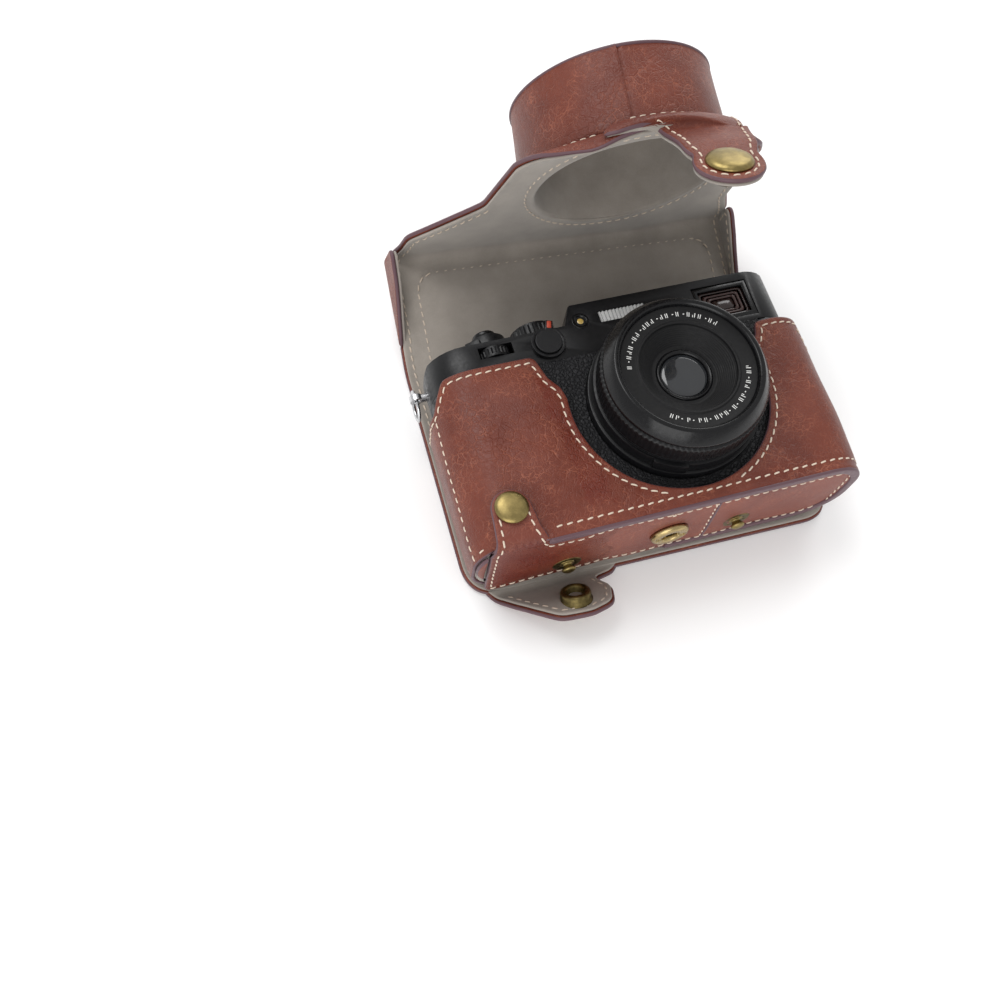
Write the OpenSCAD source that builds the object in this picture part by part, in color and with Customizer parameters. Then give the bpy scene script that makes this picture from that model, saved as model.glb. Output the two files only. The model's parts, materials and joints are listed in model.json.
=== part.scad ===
// Compact camera lying on its back in an open leather ever-ready case.
// +Z is the lens axis, +Y the camera's top, +X the viewfinder side. The origin is where the lens
// axis meets the surface that the case lies on.

/* [Camera] */
// Width of the camera body
body_w = 128; // [124:1:132]
// Depth of the camera body
body_d = 32.7; // [31:0.1:34]
// Radius of the body's ends, seen from above
body_end_r = 13.5; // [10:0.5:15]
// Height of the body from its base to the low deck
low_deck_h = 68; // [66:0.5:70]
// Height of the body from its base to the high deck
high_deck_h = 75.3; // [74:0.1:77]
// Distance from the lens axis to the base
axis_to_base = 33.5; // [33:0.1:35]
// Distance from the lens axis to the left end of the body
axis_to_left = 74.5; // [72:0.5:76]

/* [Lens] */
// Radius of the base ring
base_ring_r = 28.5; // [27:0.1:28.5]
// Radius of the aperture ring
aperture_ring_r = 27.6; // [26:0.1:28]
// Radius of the focus ring
focus_ring_r = 27; // [25:0.1:27.5]
// Distance from the front of the body to the front of the lens
lens_h = 22.5; // [21:0.1:24]
// Radius of the front glass
front_glass_r = 7; // [5:0.5:9]

/* [Case] */
// Thickness of the leather
leather_t = 1.4; // [1:0.1:1.6]
// Thickness of the lining
lining_t = 0.8; // [0.5:0.1:1]
// Height of the left front wing above the lens axis
left_wing_y = 24; // [20:0.5:26]
// Height of the right front wing above the lens axis
right_wing_y = 20; // [17:0.5:22]
// Radius of the front cut-out around the lens
cut_out_r = 33.5; // [31:0.5:35]

/* [Cover] */
// Angle by which the hood is turned back from closed
hood_open = 73.5; // [0:0.5:84]
// Angle by which the bottom flap stands up from the surface
flap_raised = 43; // [0:1:60]
// Angle by which the tab springs out from its snapped place
tab_fold = 41; // [0:1:60]
// Outer radius of the lens cup
cup_r = 34; // [33.5:0.5:36]
// Depth of the lens cup
cup_d = 29; // [24:0.5:32]

/* [Hidden] */
$fn = 64;
big = 200;
eps = 0.05;

// Layers from the surface up
panel_t = 2;
panel_lining_t = 1.6;
case_back_z = 3.9;
body_z0 = case_back_z + leather_t + lining_t + 0.2;
body_z1 = body_z0 + body_d;
face_z = body_z1 - 0.5;
case_front_z = body_z1 + leather_t + lining_t + 0.2;
lens_z = body_z1 + lens_h;

body_x0 = -axis_to_left;
body_x1 = body_x0 + body_w;
base_y = -axis_to_base;
low_y = base_y + low_deck_h;
high_y = base_y + high_deck_h;
deck_y = 22.7;
step_x = -25;
shell_t = 1.6;
split_z = 22;

case_x0 = body_x0 - leather_t - lining_t - 0.4;
case_x1 = body_x1 + leather_t + lining_t + 0.4;
case_y0 = base_y - 4.2;
case_r = body_end_r + 1.5;
sole_t = 2;

// Battery flap
flap_joint_x = -24.2;
flap_t = 2.1;
flap_tab_x = -63.4;
flap_tab_half = 6;
flap_snap_y = -26;
left_stud_x = -44.5;
left_stud_z = 13.5;
right_stud_x = 15.4;
right_stud_z = 15.5;
screw_x = -10;
screw_z = 19.8;
stud_head_r = 2.5;
stud_post_r = 1.6;
snap_bore_r = 2.9;
snap_r = 5.2;
snap_cap_r = 5.7;

// Hood, drawn closed and then turned about its fold
fold_pos = [-10, 46.5, 2.5];
fold_axis = [1, -0.0305, 0.0393];
hood_y = 46.5;
hood_front_z = 44.8;
hood_x0 = -77.2;
hood_x1 = 56.2;
cup_x = 2.5;
cup_y = -1.5;
ring_r = 42;
tab_turn = 11;
tab_pos = [right_stud_x, -41, 42.5];
tab_axis = [-cos(tab_turn), sin(tab_turn), -0.07];
tab_end_r = 10.5;
tab_len = tab_pos[2] - right_stud_z;

// Bottom flap of the cover
cover_flap_pos = [0, -41, 1.8];
cover_flap_len = left_stud_z - cover_flap_pos[2];

lug_y = 28;
lug_z = 22;
lug_r = 2.2;
ring_wire_r = 0.6;
strap_ring_r = 5;
lug_out = 3.9;

function arc(cx, cy, r, a0, a1, n = 7) =
    [for (i = [0:n]) [cx + r * cos(a0 + (a1 - a0) * i / n), cy + r * sin(a0 + (a1 - a0) * i / n)]];

function round_rect(x0, x1, y0, y1, r, n = 7) = concat(
    arc(x1 - r, y1 - r, r, 0, 90, n), arc(x0 + r, y1 - r, r, 90, 180, n),
    arc(x0 + r, y0 + r, r, 180, 270, n), arc(x1 - r, y0 + r, r, 270, 360, n));

// Extrudes an outline in (x, z) from y0 to y1
module along_y(y0, y1) translate([0, y1, 0]) rotate([90, 0, 0]) linear_extrude(y1 - y0) children();

// Extrudes an outline in (x, y) from z0 to z1
module along_z(z0, z1) translate([0, 0, z0]) linear_extrude(z1 - z0) children();

module rod_y(x, z, r, y0, y1) translate([x, y0, z]) rotate([-90, 0, 0]) cylinder(r = r, h = y1 - y0);

module rod_z(x, y, r, z0, z1) translate([x, y, z0]) cylinder(r = r, h = z1 - z0);

module ring_z(r_out, r_in, z0, z1) difference() {
    rod_z(0, 0, r_out, z0, z1);
    rod_z(0, 0, r_in, z0 - 1, z1 + 1);
}

module box(x0, x1, y0, y1, z0, z1) translate([x0, y0, z0]) cube([x1 - x0, y1 - y0, z1 - z0]);

// The body's plan outline, moved inwards by t
module body_plan(t = 0)
    polygon(round_rect(body_x0 + t, body_x1 - t, body_z0 + t, body_z1 - t, body_end_r - t));

module case_plan(t = 0)
    polygon(round_rect(case_x0 + t, case_x1 - t, case_back_z + t, case_front_z - t, case_r - t));

// ---- Cover ----

module back_outline(t = 0) polygon(concat(
    [[56.2 - t, 43 - t], [-76.2 + t, 49 - t], [-77.4 + t, -20]],
    arc(-65.4, -27.4, 12 - t, 180, 270), arc(45, -29, 12 - t, 270, 360)));

module cover_back_panel() color("saddlebrown") along_z(0, panel_t) back_outline();

module cover_back_lining() color("tan") along_z(panel_t, panel_t + panel_lining_t) back_outline(1);

// Places the flap, drawn flat, at its raised angle
module raise_flap() translate(cover_flap_pos) rotate([-flap_raised, 0, 0]) translate(-cover_flap_pos) children();

module flap_outline(t = 0) polygon(concat(
    [[-31 - t, -42], [-64 + t, -42]],
    arc(-56 + t, cover_flap_pos[1] - 8, 8, 180, 235, 4),
    arc(left_stud_x, cover_flap_pos[1] - cover_flap_len, 7.4 - t, 235, 300, 4),
    arc(-36 - t, cover_flap_pos[1] - 12, 5, 300, 360, 4)));

module cover_flap() color("saddlebrown") raise_flap() difference() {
    along_z(0, panel_t) flap_outline();
    rod_z(left_stud_x, cover_flap_pos[1] - cover_flap_len, snap_r + eps, -1, 5);
}

module cover_flap_lining() color("tan") raise_flap() difference() {
    along_z(panel_t, panel_t + panel_lining_t) flap_outline(0.8);
    rod_z(left_stud_x, cover_flap_pos[1] - cover_flap_len, snap_r + eps, -1, 5);
}

module cover_flap_snap() color("darkgoldenrod") raise_flap()
    translate([left_stud_x, cover_flap_pos[1] - cover_flap_len, 0]) difference() {
        cylinder(r = snap_r, h = panel_t + panel_lining_t + 1.1);
        translate([0, 0, 1]) cylinder(r = snap_bore_r, h = 10);
    }

// ---- Hood ----

module open_hood() translate(fold_pos) rotate(a = -hood_open, v = fold_axis) translate(-fold_pos) children();

module hood_top_panel() color("saddlebrown") open_hood()
    box(hood_x0 + 1, hood_x1 - 1, hood_y, hood_y + panel_t, 4, hood_front_z - 0.2);

// Front panel: as wide as the hood at the fold, then a ring around the lens cup
module front_outline(t = 0) polygon(concat(
    [[hood_x1 - t, hood_y + panel_t - t], [hood_x0 + t, hood_y + panel_t - t], [hood_x0 + t, 39 - t]],
    arc(-69, 36, 7 - t, 165, 235, 4), [[-56 + t, 16 + t], [-44 + t, 8 + t]],
    arc(cup_x, cup_y, ring_r - t, 172, 385, 22), [[46 - t, 26], [hood_x1 - t, 36]]));

module hood_front_panel() color("saddlebrown") open_hood() difference() {
    along_z(hood_front_z, hood_front_z + leather_t) front_outline();
    rod_z(cup_x, cup_y, cup_r + eps, hood_front_z - 1, hood_front_z + 5);
}

module hood_gussets() color("saddlebrown") open_hood()
    for (x = [hood_x0, hood_x1 - leather_t]) translate([x + leather_t, 0, 0]) rotate([0, -90, 0])
        linear_extrude(leather_t)
            polygon([[12, 46.3], [hood_front_z - 1.6, 46.3], [hood_front_z - 1.6, 35], [30, 34.5], [14, 40]]);

module hood_lining() color("tan") open_hood() {
    box(hood_x0 + 2, hood_x1 - 2, hood_y - 1.4, hood_y - eps, 6, hood_front_z - 1.5);
    difference() {
        along_z(hood_front_z - 1.4, hood_front_z - eps) intersection() {
            front_outline(1);
            translate([-100, -60]) square([200, hood_y - 0.1 + 60]);
        }
        rod_z(cup_x, cup_y, cup_r - leather_t - 0.9, 0, 60);
    }
}

module lens_cup_wall() color("saddlebrown") open_hood() difference() {
    rod_z(cup_x, cup_y, cup_r, hood_front_z, hood_front_z + cup_d - leather_t);
    rod_z(cup_x, cup_y, cup_r - leather_t, hood_front_z - 1, hood_front_z + cup_d);
}

module lens_cup_end() color("saddlebrown") open_hood()
    rod_z(cup_x, cup_y, cup_r, hood_front_z + cup_d - leather_t, hood_front_z + cup_d);

module lens_cup_lining() color("tan") open_hood() difference() {
    rod_z(cup_x, cup_y, cup_r - leather_t - eps, hood_front_z, hood_front_z + cup_d - leather_t - eps);
    rod_z(cup_x, cup_y, cup_r - leather_t - 0.9, hood_front_z - 1, hood_front_z + cup_d - leather_t - 1);
}

// Tab at the foot of the hood, drawn snapped under the base, then folded back
module fold_tab() open_hood() translate(tab_pos) rotate(a = tab_fold, v = tab_axis) translate(-tab_pos) children();

module hood_tab() color("saddlebrown") fold_tab() difference() {
    along_y(-42, -39.2) polygon(concat(
        [[right_stud_x + 4, tab_pos[2] - 3], [right_stud_x - 4, tab_pos[2] - 3],
         [right_stud_x - 5, tab_pos[2] - 9]],
        arc(right_stud_x, right_stud_z, tab_end_r, 150, 390, 14), [[right_stud_x + 5, tab_pos[2] - 9]]));
    rod_y(right_stud_x, right_stud_z, snap_r + eps, -50, -30);
}

module hood_tab_snap() color("darkgoldenrod") fold_tab() {
    difference() {
        rod_y(right_stud_x, right_stud_z, snap_r, -42, -38.1);
        rod_y(right_stud_x, right_stud_z, snap_bore_r, -41.4, -30);
    }
    rod_y(right_stud_x, right_stud_z, snap_cap_r, -42.9, -42);
}

// ---- Half case ----

// Cut-out in the front wall, seen from the front
module front_cut_out(t = 0) {
    translate([-1.5, 1]) circle(cut_out_r + t);
    polygon([[-35 - t, -4], [-35.5 - t, 12], [-38.5 - t, 15], [-40 - t, 18], [-40.5 - t, 60],
             [35.8 + t, 60], [35.8 + t, 20], [31.5 + t, 10], [31.5 + t, -4]]);
    translate([30, right_wing_y - t]) square([60, 40]);
    translate([-100, left_wing_y - t]) square([70, 40]);
}

module case_cuts() {
    along_z(body_z0 + body_d / 2, big) front_cut_out();
    // Dip in the right end, where the strap lug comes out
    translate([case_x1 - 3, 6, 12]) cube([10, 40, 17]);
    translate([case_x0 - 7, 15, 14]) cube([10, 40, 15]);
    // Window in the back wall for the screen
    box(-26, 46, -26, 22, -1, body_z0 + 1.2);
    box(-big, big, 18, big, -1, body_z0 + 4);
    // Opening under the battery flap
    box(-big, flap_joint_x + 0.6, case_y0 - 1, case_y0 + flap_t + 0.3, -1, big);
}

module case_shell() color("saddlebrown") difference() {
    along_y(case_y0, left_wing_y) case_plan();
    along_y(case_y0 + leather_t, 40) case_plan(leather_t);
    case_cuts();
    rod_y(screw_x, screw_z, 5, -60, -20);
}

module case_sole() color("dimgray") difference() {
    along_y(case_y0 + leather_t, case_y0 + leather_t + sole_t) case_plan(leather_t);
    box(-big, flap_joint_x + 0.6, -60, 0, -1, big);
    rod_y(screw_x, screw_z, 5, -60, -20);
}

module case_lining() color("tan") difference() {
    along_y(case_y0 + leather_t + sole_t, left_wing_y - 0.8) case_plan(leather_t);
    along_y(base_y, 40) body_plan();
    case_cuts();
    box(-big, flap_joint_x + 0.6, -60, base_y, -1, big);
    rod_y(screw_x, screw_z, 5, -60, -20);
}

// A snap stud along +Z from the leather at the origin
module stud() {
    cylinder(r = stud_post_r, h = 2.4);
    translate([0, 0, 1.6]) cylinder(r1 = stud_post_r, r2 = stud_head_r, h = 0.7);
    translate([0, 0, 2.3]) cylinder(r1 = stud_head_r, r2 = 1.7, h = 0.8);
}

module case_studs() color("darkgoldenrod") {
    translate([right_stud_x, case_y0, right_stud_z]) rotate([90, 0, 0]) stud();
    translate([flap_tab_x, flap_snap_y, case_front_z]) scale(0.8) stud();
}

module battery_flap() color("saddlebrown") difference() {
    union() {
        intersection() {
            along_y(case_y0, case_y0 + flap_t) case_plan(0.1);
            box(-big, flap_joint_x - 0.3, -60, 0, -1, big);
        }
        box(flap_tab_x - flap_tab_half, flap_tab_x + flap_tab_half, case_y0, case_y0 + flap_t,
            case_front_z - 10, case_front_z + 0.4 + leather_t);
        along_z(case_front_z + 0.4, case_front_z + 0.4 + leather_t) polygon(concat(
            [[flap_tab_x - flap_tab_half, case_y0], [flap_tab_x + flap_tab_half, case_y0]],
            arc(flap_tab_x, flap_snap_y, flap_tab_half, 0, 180, 10)));
    }
    rod_z(flap_tab_x, flap_snap_y, stud_head_r + 0.4, case_front_z - 5, case_front_z + 10);
    rod_y(left_stud_x, left_stud_z, stud_post_r, case_y0 - 5, case_y0 + 1);
}

module battery_flap_cap() color("darkgoldenrod") difference() {
    rod_z(flap_tab_x, flap_snap_y, 5.4, case_front_z + 0.4 + leather_t, case_front_z + 3.4);
    rod_z(flap_tab_x, flap_snap_y, stud_head_r + 0.4, case_front_z, case_front_z + 2.8);
}

module battery_flap_stud() color("darkgoldenrod") {
    translate([left_stud_x, case_y0, left_stud_z]) rotate([90, 0, 0]) stud();
    rod_y(left_stud_x, left_stud_z, stud_post_r, case_y0, case_y0 + 1);
}

module case_screw() color("gold") difference() {
    union() {
        rod_y(screw_x, screw_z, 6.2, case_y0 - 2, case_y0 - eps);
        rod_y(screw_x, screw_z, 4.92, case_y0 - 1, base_y - 0.2);
        rod_y(screw_x, screw_z, 3, base_y - 1, base_y + 5.5);
    }
    rod_y(screw_x, screw_z, 3.1, case_y0 - 3, case_y0 + 3);
    // Coin slot across the head
    for (s = [-1, 1]) translate([screw_x + s * 4.7 - 0.9, case_y0 - 3, screw_z - 0.8]) cube([1.8, 2, 1.6]);
}

// ---- Camera casings ----

module casing_ring(y0, y1) difference() {
    along_y(y0, y1) body_plan();
    along_y(y0 - 1, y1 + 1) body_plan(shell_t);
}

module front_casing() color("#1c1c1e") difference() {
    casing_ring(base_y + 2, deck_y);
    box(-big, big, -big, big, -1, split_z);
    box(-big, big, -big, big, face_z, big);
    rod_z(0, 0, 21.5, 0, big);
}

module grip_leatherette() color("#121212") difference() {
    box(-61, 40, base_y + 2, deck_y, face_z, body_z1);
    rod_z(0, 0, base_ring_r + 0.2, 0, big);
}

module rear_cover() color("#1c1c1e") difference() {
    casing_ring(base_y + 2, deck_y);
    box(-big, big, -big, big, split_z - eps, big);
    box(-24, 44, -24, 20, -1, body_z0 + 5);
    rod_y(-62, 12.5, 5, 15, 30);
    box(-70, -54, 15.5, 30, 0, 12);
}

module base_cover() color("#1c1c1e") difference() {
    along_y(base_y, base_y + 2) body_plan();
    box(-69, -31, -60, 0, 13, 31);
    rod_y(screw_x, screw_z, 6, -60, 0);
}

// Front view of the top cover
module deck_outline(t = 0) polygon([
    [body_x0 + t, 0], [body_x0 + t, low_y - 1.2 - t], [body_x0 + 1.2 + t, low_y - t],
    [step_x - 1 + t / 2, low_y - t], [step_x + 2 + t / 2, high_y - 0.6 - t], [step_x + 2.8 + t / 2, high_y - t],
    [body_x1 - 2.4 - t, high_y - t], [body_x1 - 0.6 - t, high_y - 3 - t], [body_x1 - t, 30], [body_x1 - t, 0]]);

module top_cover() color("#1c1c1e") difference() {
    intersection() {
        along_y(deck_y, high_y) body_plan();
        along_z(0, big) deck_outline();
    }
    intersection() {
        along_y(deck_y - 1, high_y) body_plan(shell_t);
        along_z(0, big) deck_outline(shell_t);
    }
    // Windows in the front: viewfinder, flash and lamp
    box(21, 41.5, 24.6, 38.8, body_z1 - 4, big);
    box(-13.5, 3.5, 33.2, 37.6, body_z1 - 4, big);
    rod_z(-20.3, 35.2, 2.65, body_z1 - 4, big);
    rod_z(-33.7, 29, 1.55, body_z1 - 4, big);
    // Seat of the lens base ring
    rod_z(0, 0, base_ring_r + 0.15, face_z - 0.1, big);
    // Slot of the front dial
    box(-57, -45.4, 28.4, 32.6, body_z1 - 4, big);
    // Eyepiece window and rear dial slot
    box(24, 42, 25, 37, 0, body_z0 + 4);
    box(-60, -48, 27.4, 31.6, 0, body_z0 + 4);
    // Dial shafts
    rod_y(-51.5, 30, 2.05, low_y - 2, 60);
    rod_y(-34.2, 27, 1.55, 20, 60);
    rod_y(-60, 15.5, 1.55, 20, 60);
    // Lug roots
    for (x = [body_x0, body_x1]) translate([x - 3, lug_y, lug_z]) rotate([0, 90, 0]) cylinder(r = 1.5, h = 6);
}

module hot_shoe() color("silver") {
    box(-10, 10, high_y, high_y + 0.5, 10, 28);
    for (s = [-1, 1]) {
        box(min(s * 9.2, s * 10), max(s * 9.2, s * 10), high_y + 0.5, high_y + 2, 10, 28);
        box(min(s * 6.8, s * 10), max(s * 6.8, s * 10), high_y + 2, high_y + 2.7, 10, 28);
    }
}

module strap_lugs() color("silver") for (s = [-1, 1]) {
    x = s < 0 ? body_x0 : body_x1;
    difference() {
        union() {
            translate([x - 2 * s, lug_y, lug_z]) rotate([0, 90 * s, 0]) cylinder(r = 1.45, h = 4.5);
            rod_y(x + s * lug_out, lug_z, lug_r, lug_y - 1, lug_y + 1);
        }
        rod_y(x + s * lug_out, lug_z, 1.2, lug_y - 3, lug_y + 3);
    }
}

module strap_ring(x) color("silver") translate([x, lug_y, lug_z - strap_ring_r])
    rotate([0, 90, 0]) rotate_extrude() translate([strap_ring_r, 0]) circle(ring_wire_r, $fn = 24);

module strap_ring_left() strap_ring(body_x0 - lug_out);

module strap_ring_right() strap_ring(body_x1 + lug_out);

// ---- Controls ----

module shutter_button() color("#222224") {
    rod_y(-51.5, 30, 4, low_y + 5.8, low_y + 7.4);
    rod_y(-51.5, 30, 2, low_y - 0.9, low_y + 5.8);
}

module power_lever() color("#1a1a1c") difference() {
    union() {
        rod_y(-51.5, 30, 6.6, low_y + 0.1, low_y + 4.4);
        translate([-58.6, low_y + 0.1, 33]) rotate([0, -25, 0]) cube([5, 2.4, 3]);
    }
    rod_y(-51.5, 30, 2.15, 20, 60);
}

// A dial along +Y with a knurled rim of the given count
module dial(r, h, teeth, shaft_r, shaft_h) {
    difference() {
        cylinder(r = r, h = h);
        for (i = [0:teeth - 1]) rotate(i * 360 / teeth) translate([r + 0.25, 0, 0.8])
            cylinder(r = 0.6, h = h - 1.4, $fn = 4);
    }
    translate([0, 0, -shaft_h]) cylinder(r = shaft_r, h = shaft_h + 0.5);
}

module shutter_dial() color("#1e1e20")
    translate([-34.2, low_y + 0.1, 27]) rotate([-90, 0, 0]) dial(7.9, 6.4, 30, 1.5, 5);

module exposure_dial() color("#1e1e20")
    translate([-60, low_y + 0.1, 15.5]) rotate([-90, 0, 0]) dial(8, 5, 30, 1.5, 5);

module front_dial() color("#161618")
    translate([-51.2, 28.7, body_z1 - 4.6]) rotate([-90, 0, 0]) dial(5.4, 3.6, 24, 1, 1.5);

module rear_dial() color("#161618")
    translate([-54, 27.7, body_z0 + 4.6]) rotate([-90, 0, 0]) dial(5.4, 3.6, 24, 1, 1.5);

module viewfinder_lever() color("#1a1a1c") difference() {
    union() {
        rod_z(-33.7, 29, 5.7, body_z1 + 0.1, body_z1 + 1.5);
        rod_z(-33.7, 29, 1.5, body_z1 - 5, body_z1 + 0.5);
        translate([-33.7, 29, body_z1 + 0.1]) rotate(-18) translate([-1.2, 4, 0]) cube([2.4, 4.2, 1.6]);
    }
    rod_z(-33.7, 29, 4.65, body_z1 + 0.8, big);
    rod_z(-33.7, 29, 0.9, body_z1 - 3, big);
}

module lever_button() color("#202022") {
    rod_z(-33.7, 29, 4.5, body_z1 + 1.2, body_z1 + 2.2);
    rod_z(-33.7, 29, 0.85, body_z1 + 0.4, body_z1 + 1.2);
}

module viewfinder_frame() color("#141414") difference() {
    box(21.1, 41.4, 24.7, 38.7, body_z1 - 6, body_z1 - 0.3);
    box(23, 39.6, 26.4, 37, body_z1 - 8, big);
}

module viewfinder_glass() color("#2a1512") box(23, 39.6, 26.4, 37, body_z1 - 3.2, body_z1 - 1.8);

module eyepiece() color("#141414") difference() {
    box(24.2, 41.8, 25.2, 36.8, body_z0 - 0.1, body_z0 + 5);
    box(26.5, 39.5, 27, 35, -1, body_z0 + 3);
}

module assist_lamp() color("goldenrod") {
    rod_z(-20.3, 35.2, 2.6, body_z1 - 4, body_z1 - 0.2);
}

module flash_unit() color("silver") box(-13.4, 3.4, 33.3, 37.5, body_z1 - 5, body_z1 - 0.1);

module battery_door() color("#1c1c1e") box(-68.8, -31.2, base_y + 0.1, base_y + 1.9, 13.2, 30.8);

module rear_screen() color("#0a0a0c") box(-23.8, 43.8, -23.8, 19.8, body_z0 + 0.1, body_z0 + 2.6);

module tripod_bush() color("silver") difference() {
    rod_y(screw_x, screw_z, 5.9, base_y + 0.3, base_y + 6.5);
    rod_y(screw_x, screw_z, 3.05, -60, base_y + 5.8);
}

// ---- Lens ----

module lens_base_ring() color("#18181a") ring_z(base_ring_r, 20.1, body_z1 - 0.45, body_z1 + 3.3);

module lens_barrel() color("#18181a") ring_z(20, 17.4, face_z - 6, body_z1 + 16.9);

module aperture_ring() color("#1a1a1c") difference() {
    union() {
        ring_z(aperture_ring_r, 20.05, body_z1 + 3.5, body_z1 + 8.7);
        // Two finger tabs
        for (a = [65, 245]) rotate(a) intersection() {
            translate([0, -5.5, body_z1 + 3.9]) cube([28.5, 11, 4.4]);
            difference() {
                rod_z(0, 0, 28.5, 0, big);
                rod_z(0, 0, 25, 0, big);
            }
        }
    }
    ring_z(30, aperture_ring_r - 0.8, body_z1 + 8.2, body_z1 + 9);
}

module focus_ring() color("#1a1a1c") difference() {
    ring_z(focus_ring_r, 20.05, body_z1 + 8.9, body_z1 + 16.8);
    for (z = [10.4:1.2:15.4]) ring_z(30, focus_ring_r - 0.35, body_z1 + z, body_z1 + z + 0.5);
}

module front_ring() color("#18181a") rotate_extrude() polygon([
    [17.5, body_z1 + 17], [26.4, body_z1 + 17], [26.4, body_z1 + 18.2], [24.6, lens_z - 1.6],
    [23.6, lens_z], [21.7, lens_z], [21.7, lens_z - 3], [17.5, lens_z - 3]]);

module name_ring() color("#101012") rotate_extrude() polygon([
    [15.9, lens_z - 2.95], [21.6, lens_z - 2.95], [21.6, lens_z - 1.6], [15.9, lens_z - 2.1]]);

module front_glass() color("#202830") rotate_extrude() polygon(concat(
    [[0, lens_z - 8], [front_glass_r + 2, lens_z - 8]],
    [for (i = [8:-1:0]) [(front_glass_r + 2) * i / 8, lens_z - 4.4 - 1.6 * pow(i / 8, 2)]]));

module lens_elements() color("#28323a") {
    rotate_extrude() polygon([[9.2, lens_z - 9], [15.6, lens_z - 9], [15.6, lens_z - 2.6], [9.2, lens_z - 5.4]]);
    rod_z(0, 0, 14, 46, 51);
    rod_z(0, 0, 13, 26, 33);
}

module iris_unit() color("#303030") difference() {
    rod_z(0, 0, 17.3, 37, 42);
    rod_z(0, 0, 6, 30, 60);
}

// ---- Inside ----

module chassis() color("silver") difference() {
    box(-28, 50, base_y + 7.5, 20, 18.8, 21.6);
    rod_z(0, 0, 16, 0, big);
    box(35, 44, -20, 12, 0, 60);
}

module main_board() color("darkgreen") box(-48, 46, base_y + 8, 21, body_z0 + 3, body_z0 + 4.4);

module sensor_module() color("#303848") box(-16, 16, -14, 14, body_z0 + 5, 18.7);

module battery() color("#404448") box(-67.5, -32.5, base_y + 2.2, 12.5, 14, 29.7);

cover_back_panel();
cover_back_lining();
cover_flap();
cover_flap_lining();
cover_flap_snap();
hood_top_panel();
hood_front_panel();
hood_gussets();
hood_lining();
lens_cup_wall();
lens_cup_end();
lens_cup_lining();
hood_tab();
hood_tab_snap();
case_shell();
case_lining();
case_sole();
case_studs();
battery_flap();
battery_flap_cap();
battery_flap_stud();
case_screw();
top_cover();
base_cover();
front_casing();
rear_cover();
grip_leatherette();
hot_shoe();
strap_lugs();
strap_ring_left();
strap_ring_right();
shutter_button();
power_lever();
shutter_dial();
exposure_dial();
front_dial();
rear_dial();
viewfinder_lever();
lever_button();
viewfinder_frame();
viewfinder_glass();
eyepiece();
assist_lamp();
flash_unit();
battery_door();
rear_screen();
tripod_bush();
lens_base_ring();
lens_barrel();
aperture_ring();
focus_ring();
front_ring();
name_ring();
front_glass();
lens_elements();
iris_unit();
chassis();
main_board();
sensor_module();
battery();
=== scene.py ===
"""Looks of a compact camera in its open leather ever-ready case."""

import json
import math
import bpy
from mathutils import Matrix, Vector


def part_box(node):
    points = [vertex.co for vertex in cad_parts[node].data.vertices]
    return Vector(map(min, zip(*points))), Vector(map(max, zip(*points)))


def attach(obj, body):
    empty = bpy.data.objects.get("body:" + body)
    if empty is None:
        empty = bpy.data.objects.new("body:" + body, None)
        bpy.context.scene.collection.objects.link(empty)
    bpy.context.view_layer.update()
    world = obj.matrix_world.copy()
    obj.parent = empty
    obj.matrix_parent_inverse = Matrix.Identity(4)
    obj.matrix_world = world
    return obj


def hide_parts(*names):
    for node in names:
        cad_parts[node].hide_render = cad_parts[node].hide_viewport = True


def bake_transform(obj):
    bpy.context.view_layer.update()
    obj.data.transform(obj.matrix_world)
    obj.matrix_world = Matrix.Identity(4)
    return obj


bl_info = {
    "name": "Camera in leather case",
    "version": (1, 0, 0),
    "blender": (4, 5, 0),
    "location": "View3D > Sidebar > Camera Case",
    "description": "Builds the leather case, its stitching and brass, and the camera's finishes",
    "category": "Object",
}

import bmesh
import bpy
import numpy as np
from bpy.props import FloatProperty, FloatVectorProperty, PointerProperty
from mathutils import Matrix, Vector, geometry, noise

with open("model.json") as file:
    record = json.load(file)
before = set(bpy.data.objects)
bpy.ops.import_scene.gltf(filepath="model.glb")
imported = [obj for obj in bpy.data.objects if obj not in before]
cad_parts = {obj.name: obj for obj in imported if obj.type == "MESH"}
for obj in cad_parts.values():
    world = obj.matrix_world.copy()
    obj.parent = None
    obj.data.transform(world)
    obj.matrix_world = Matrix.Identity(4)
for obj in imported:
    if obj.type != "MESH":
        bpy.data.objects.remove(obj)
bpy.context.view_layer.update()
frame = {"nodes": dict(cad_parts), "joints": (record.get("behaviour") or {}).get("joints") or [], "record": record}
JOINTS = {j["name"]: j for j in frame["joints"]}
BODY_OF = {n: b for b, ns in frame["record"]["behaviour"]["bodies"].items() for n in ns}
ROOT = "camera_in_case"
MM = 0.001


def turned(joint, degrees):
    """The turn by an angle about a joint's line."""
    spot = Vector(JOINTS[joint]["pos_m"])
    spin = Matrix.Rotation(math.radians(degrees), 4, Vector(JOINTS[joint]["axis"]))
    return Matrix.Translation(spot) @ spin @ Matrix.Translation(-spot)


# From the closed hood, the snapped tab and the flat bottom flap to where they rest
HOOD = turned("hood_fold", -JOINTS["hood_fold"]["range_deg"][0])
TAB = turned("hood_tab_bend", -JOINTS["hood_tab_bend"]["range_deg"][0]) @ HOOD
FLAP = turned("cover_flap_bend", -JOINTS["cover_flap_bend"]["range_deg"][1])
TAB_PIVOT = Vector(JOINTS["hood_tab_bend"]["pos_m"])
DOWN = Matrix.Rotation(math.pi / 2, 4, "X")  # lays a turned piece with its top towards the foot

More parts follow.
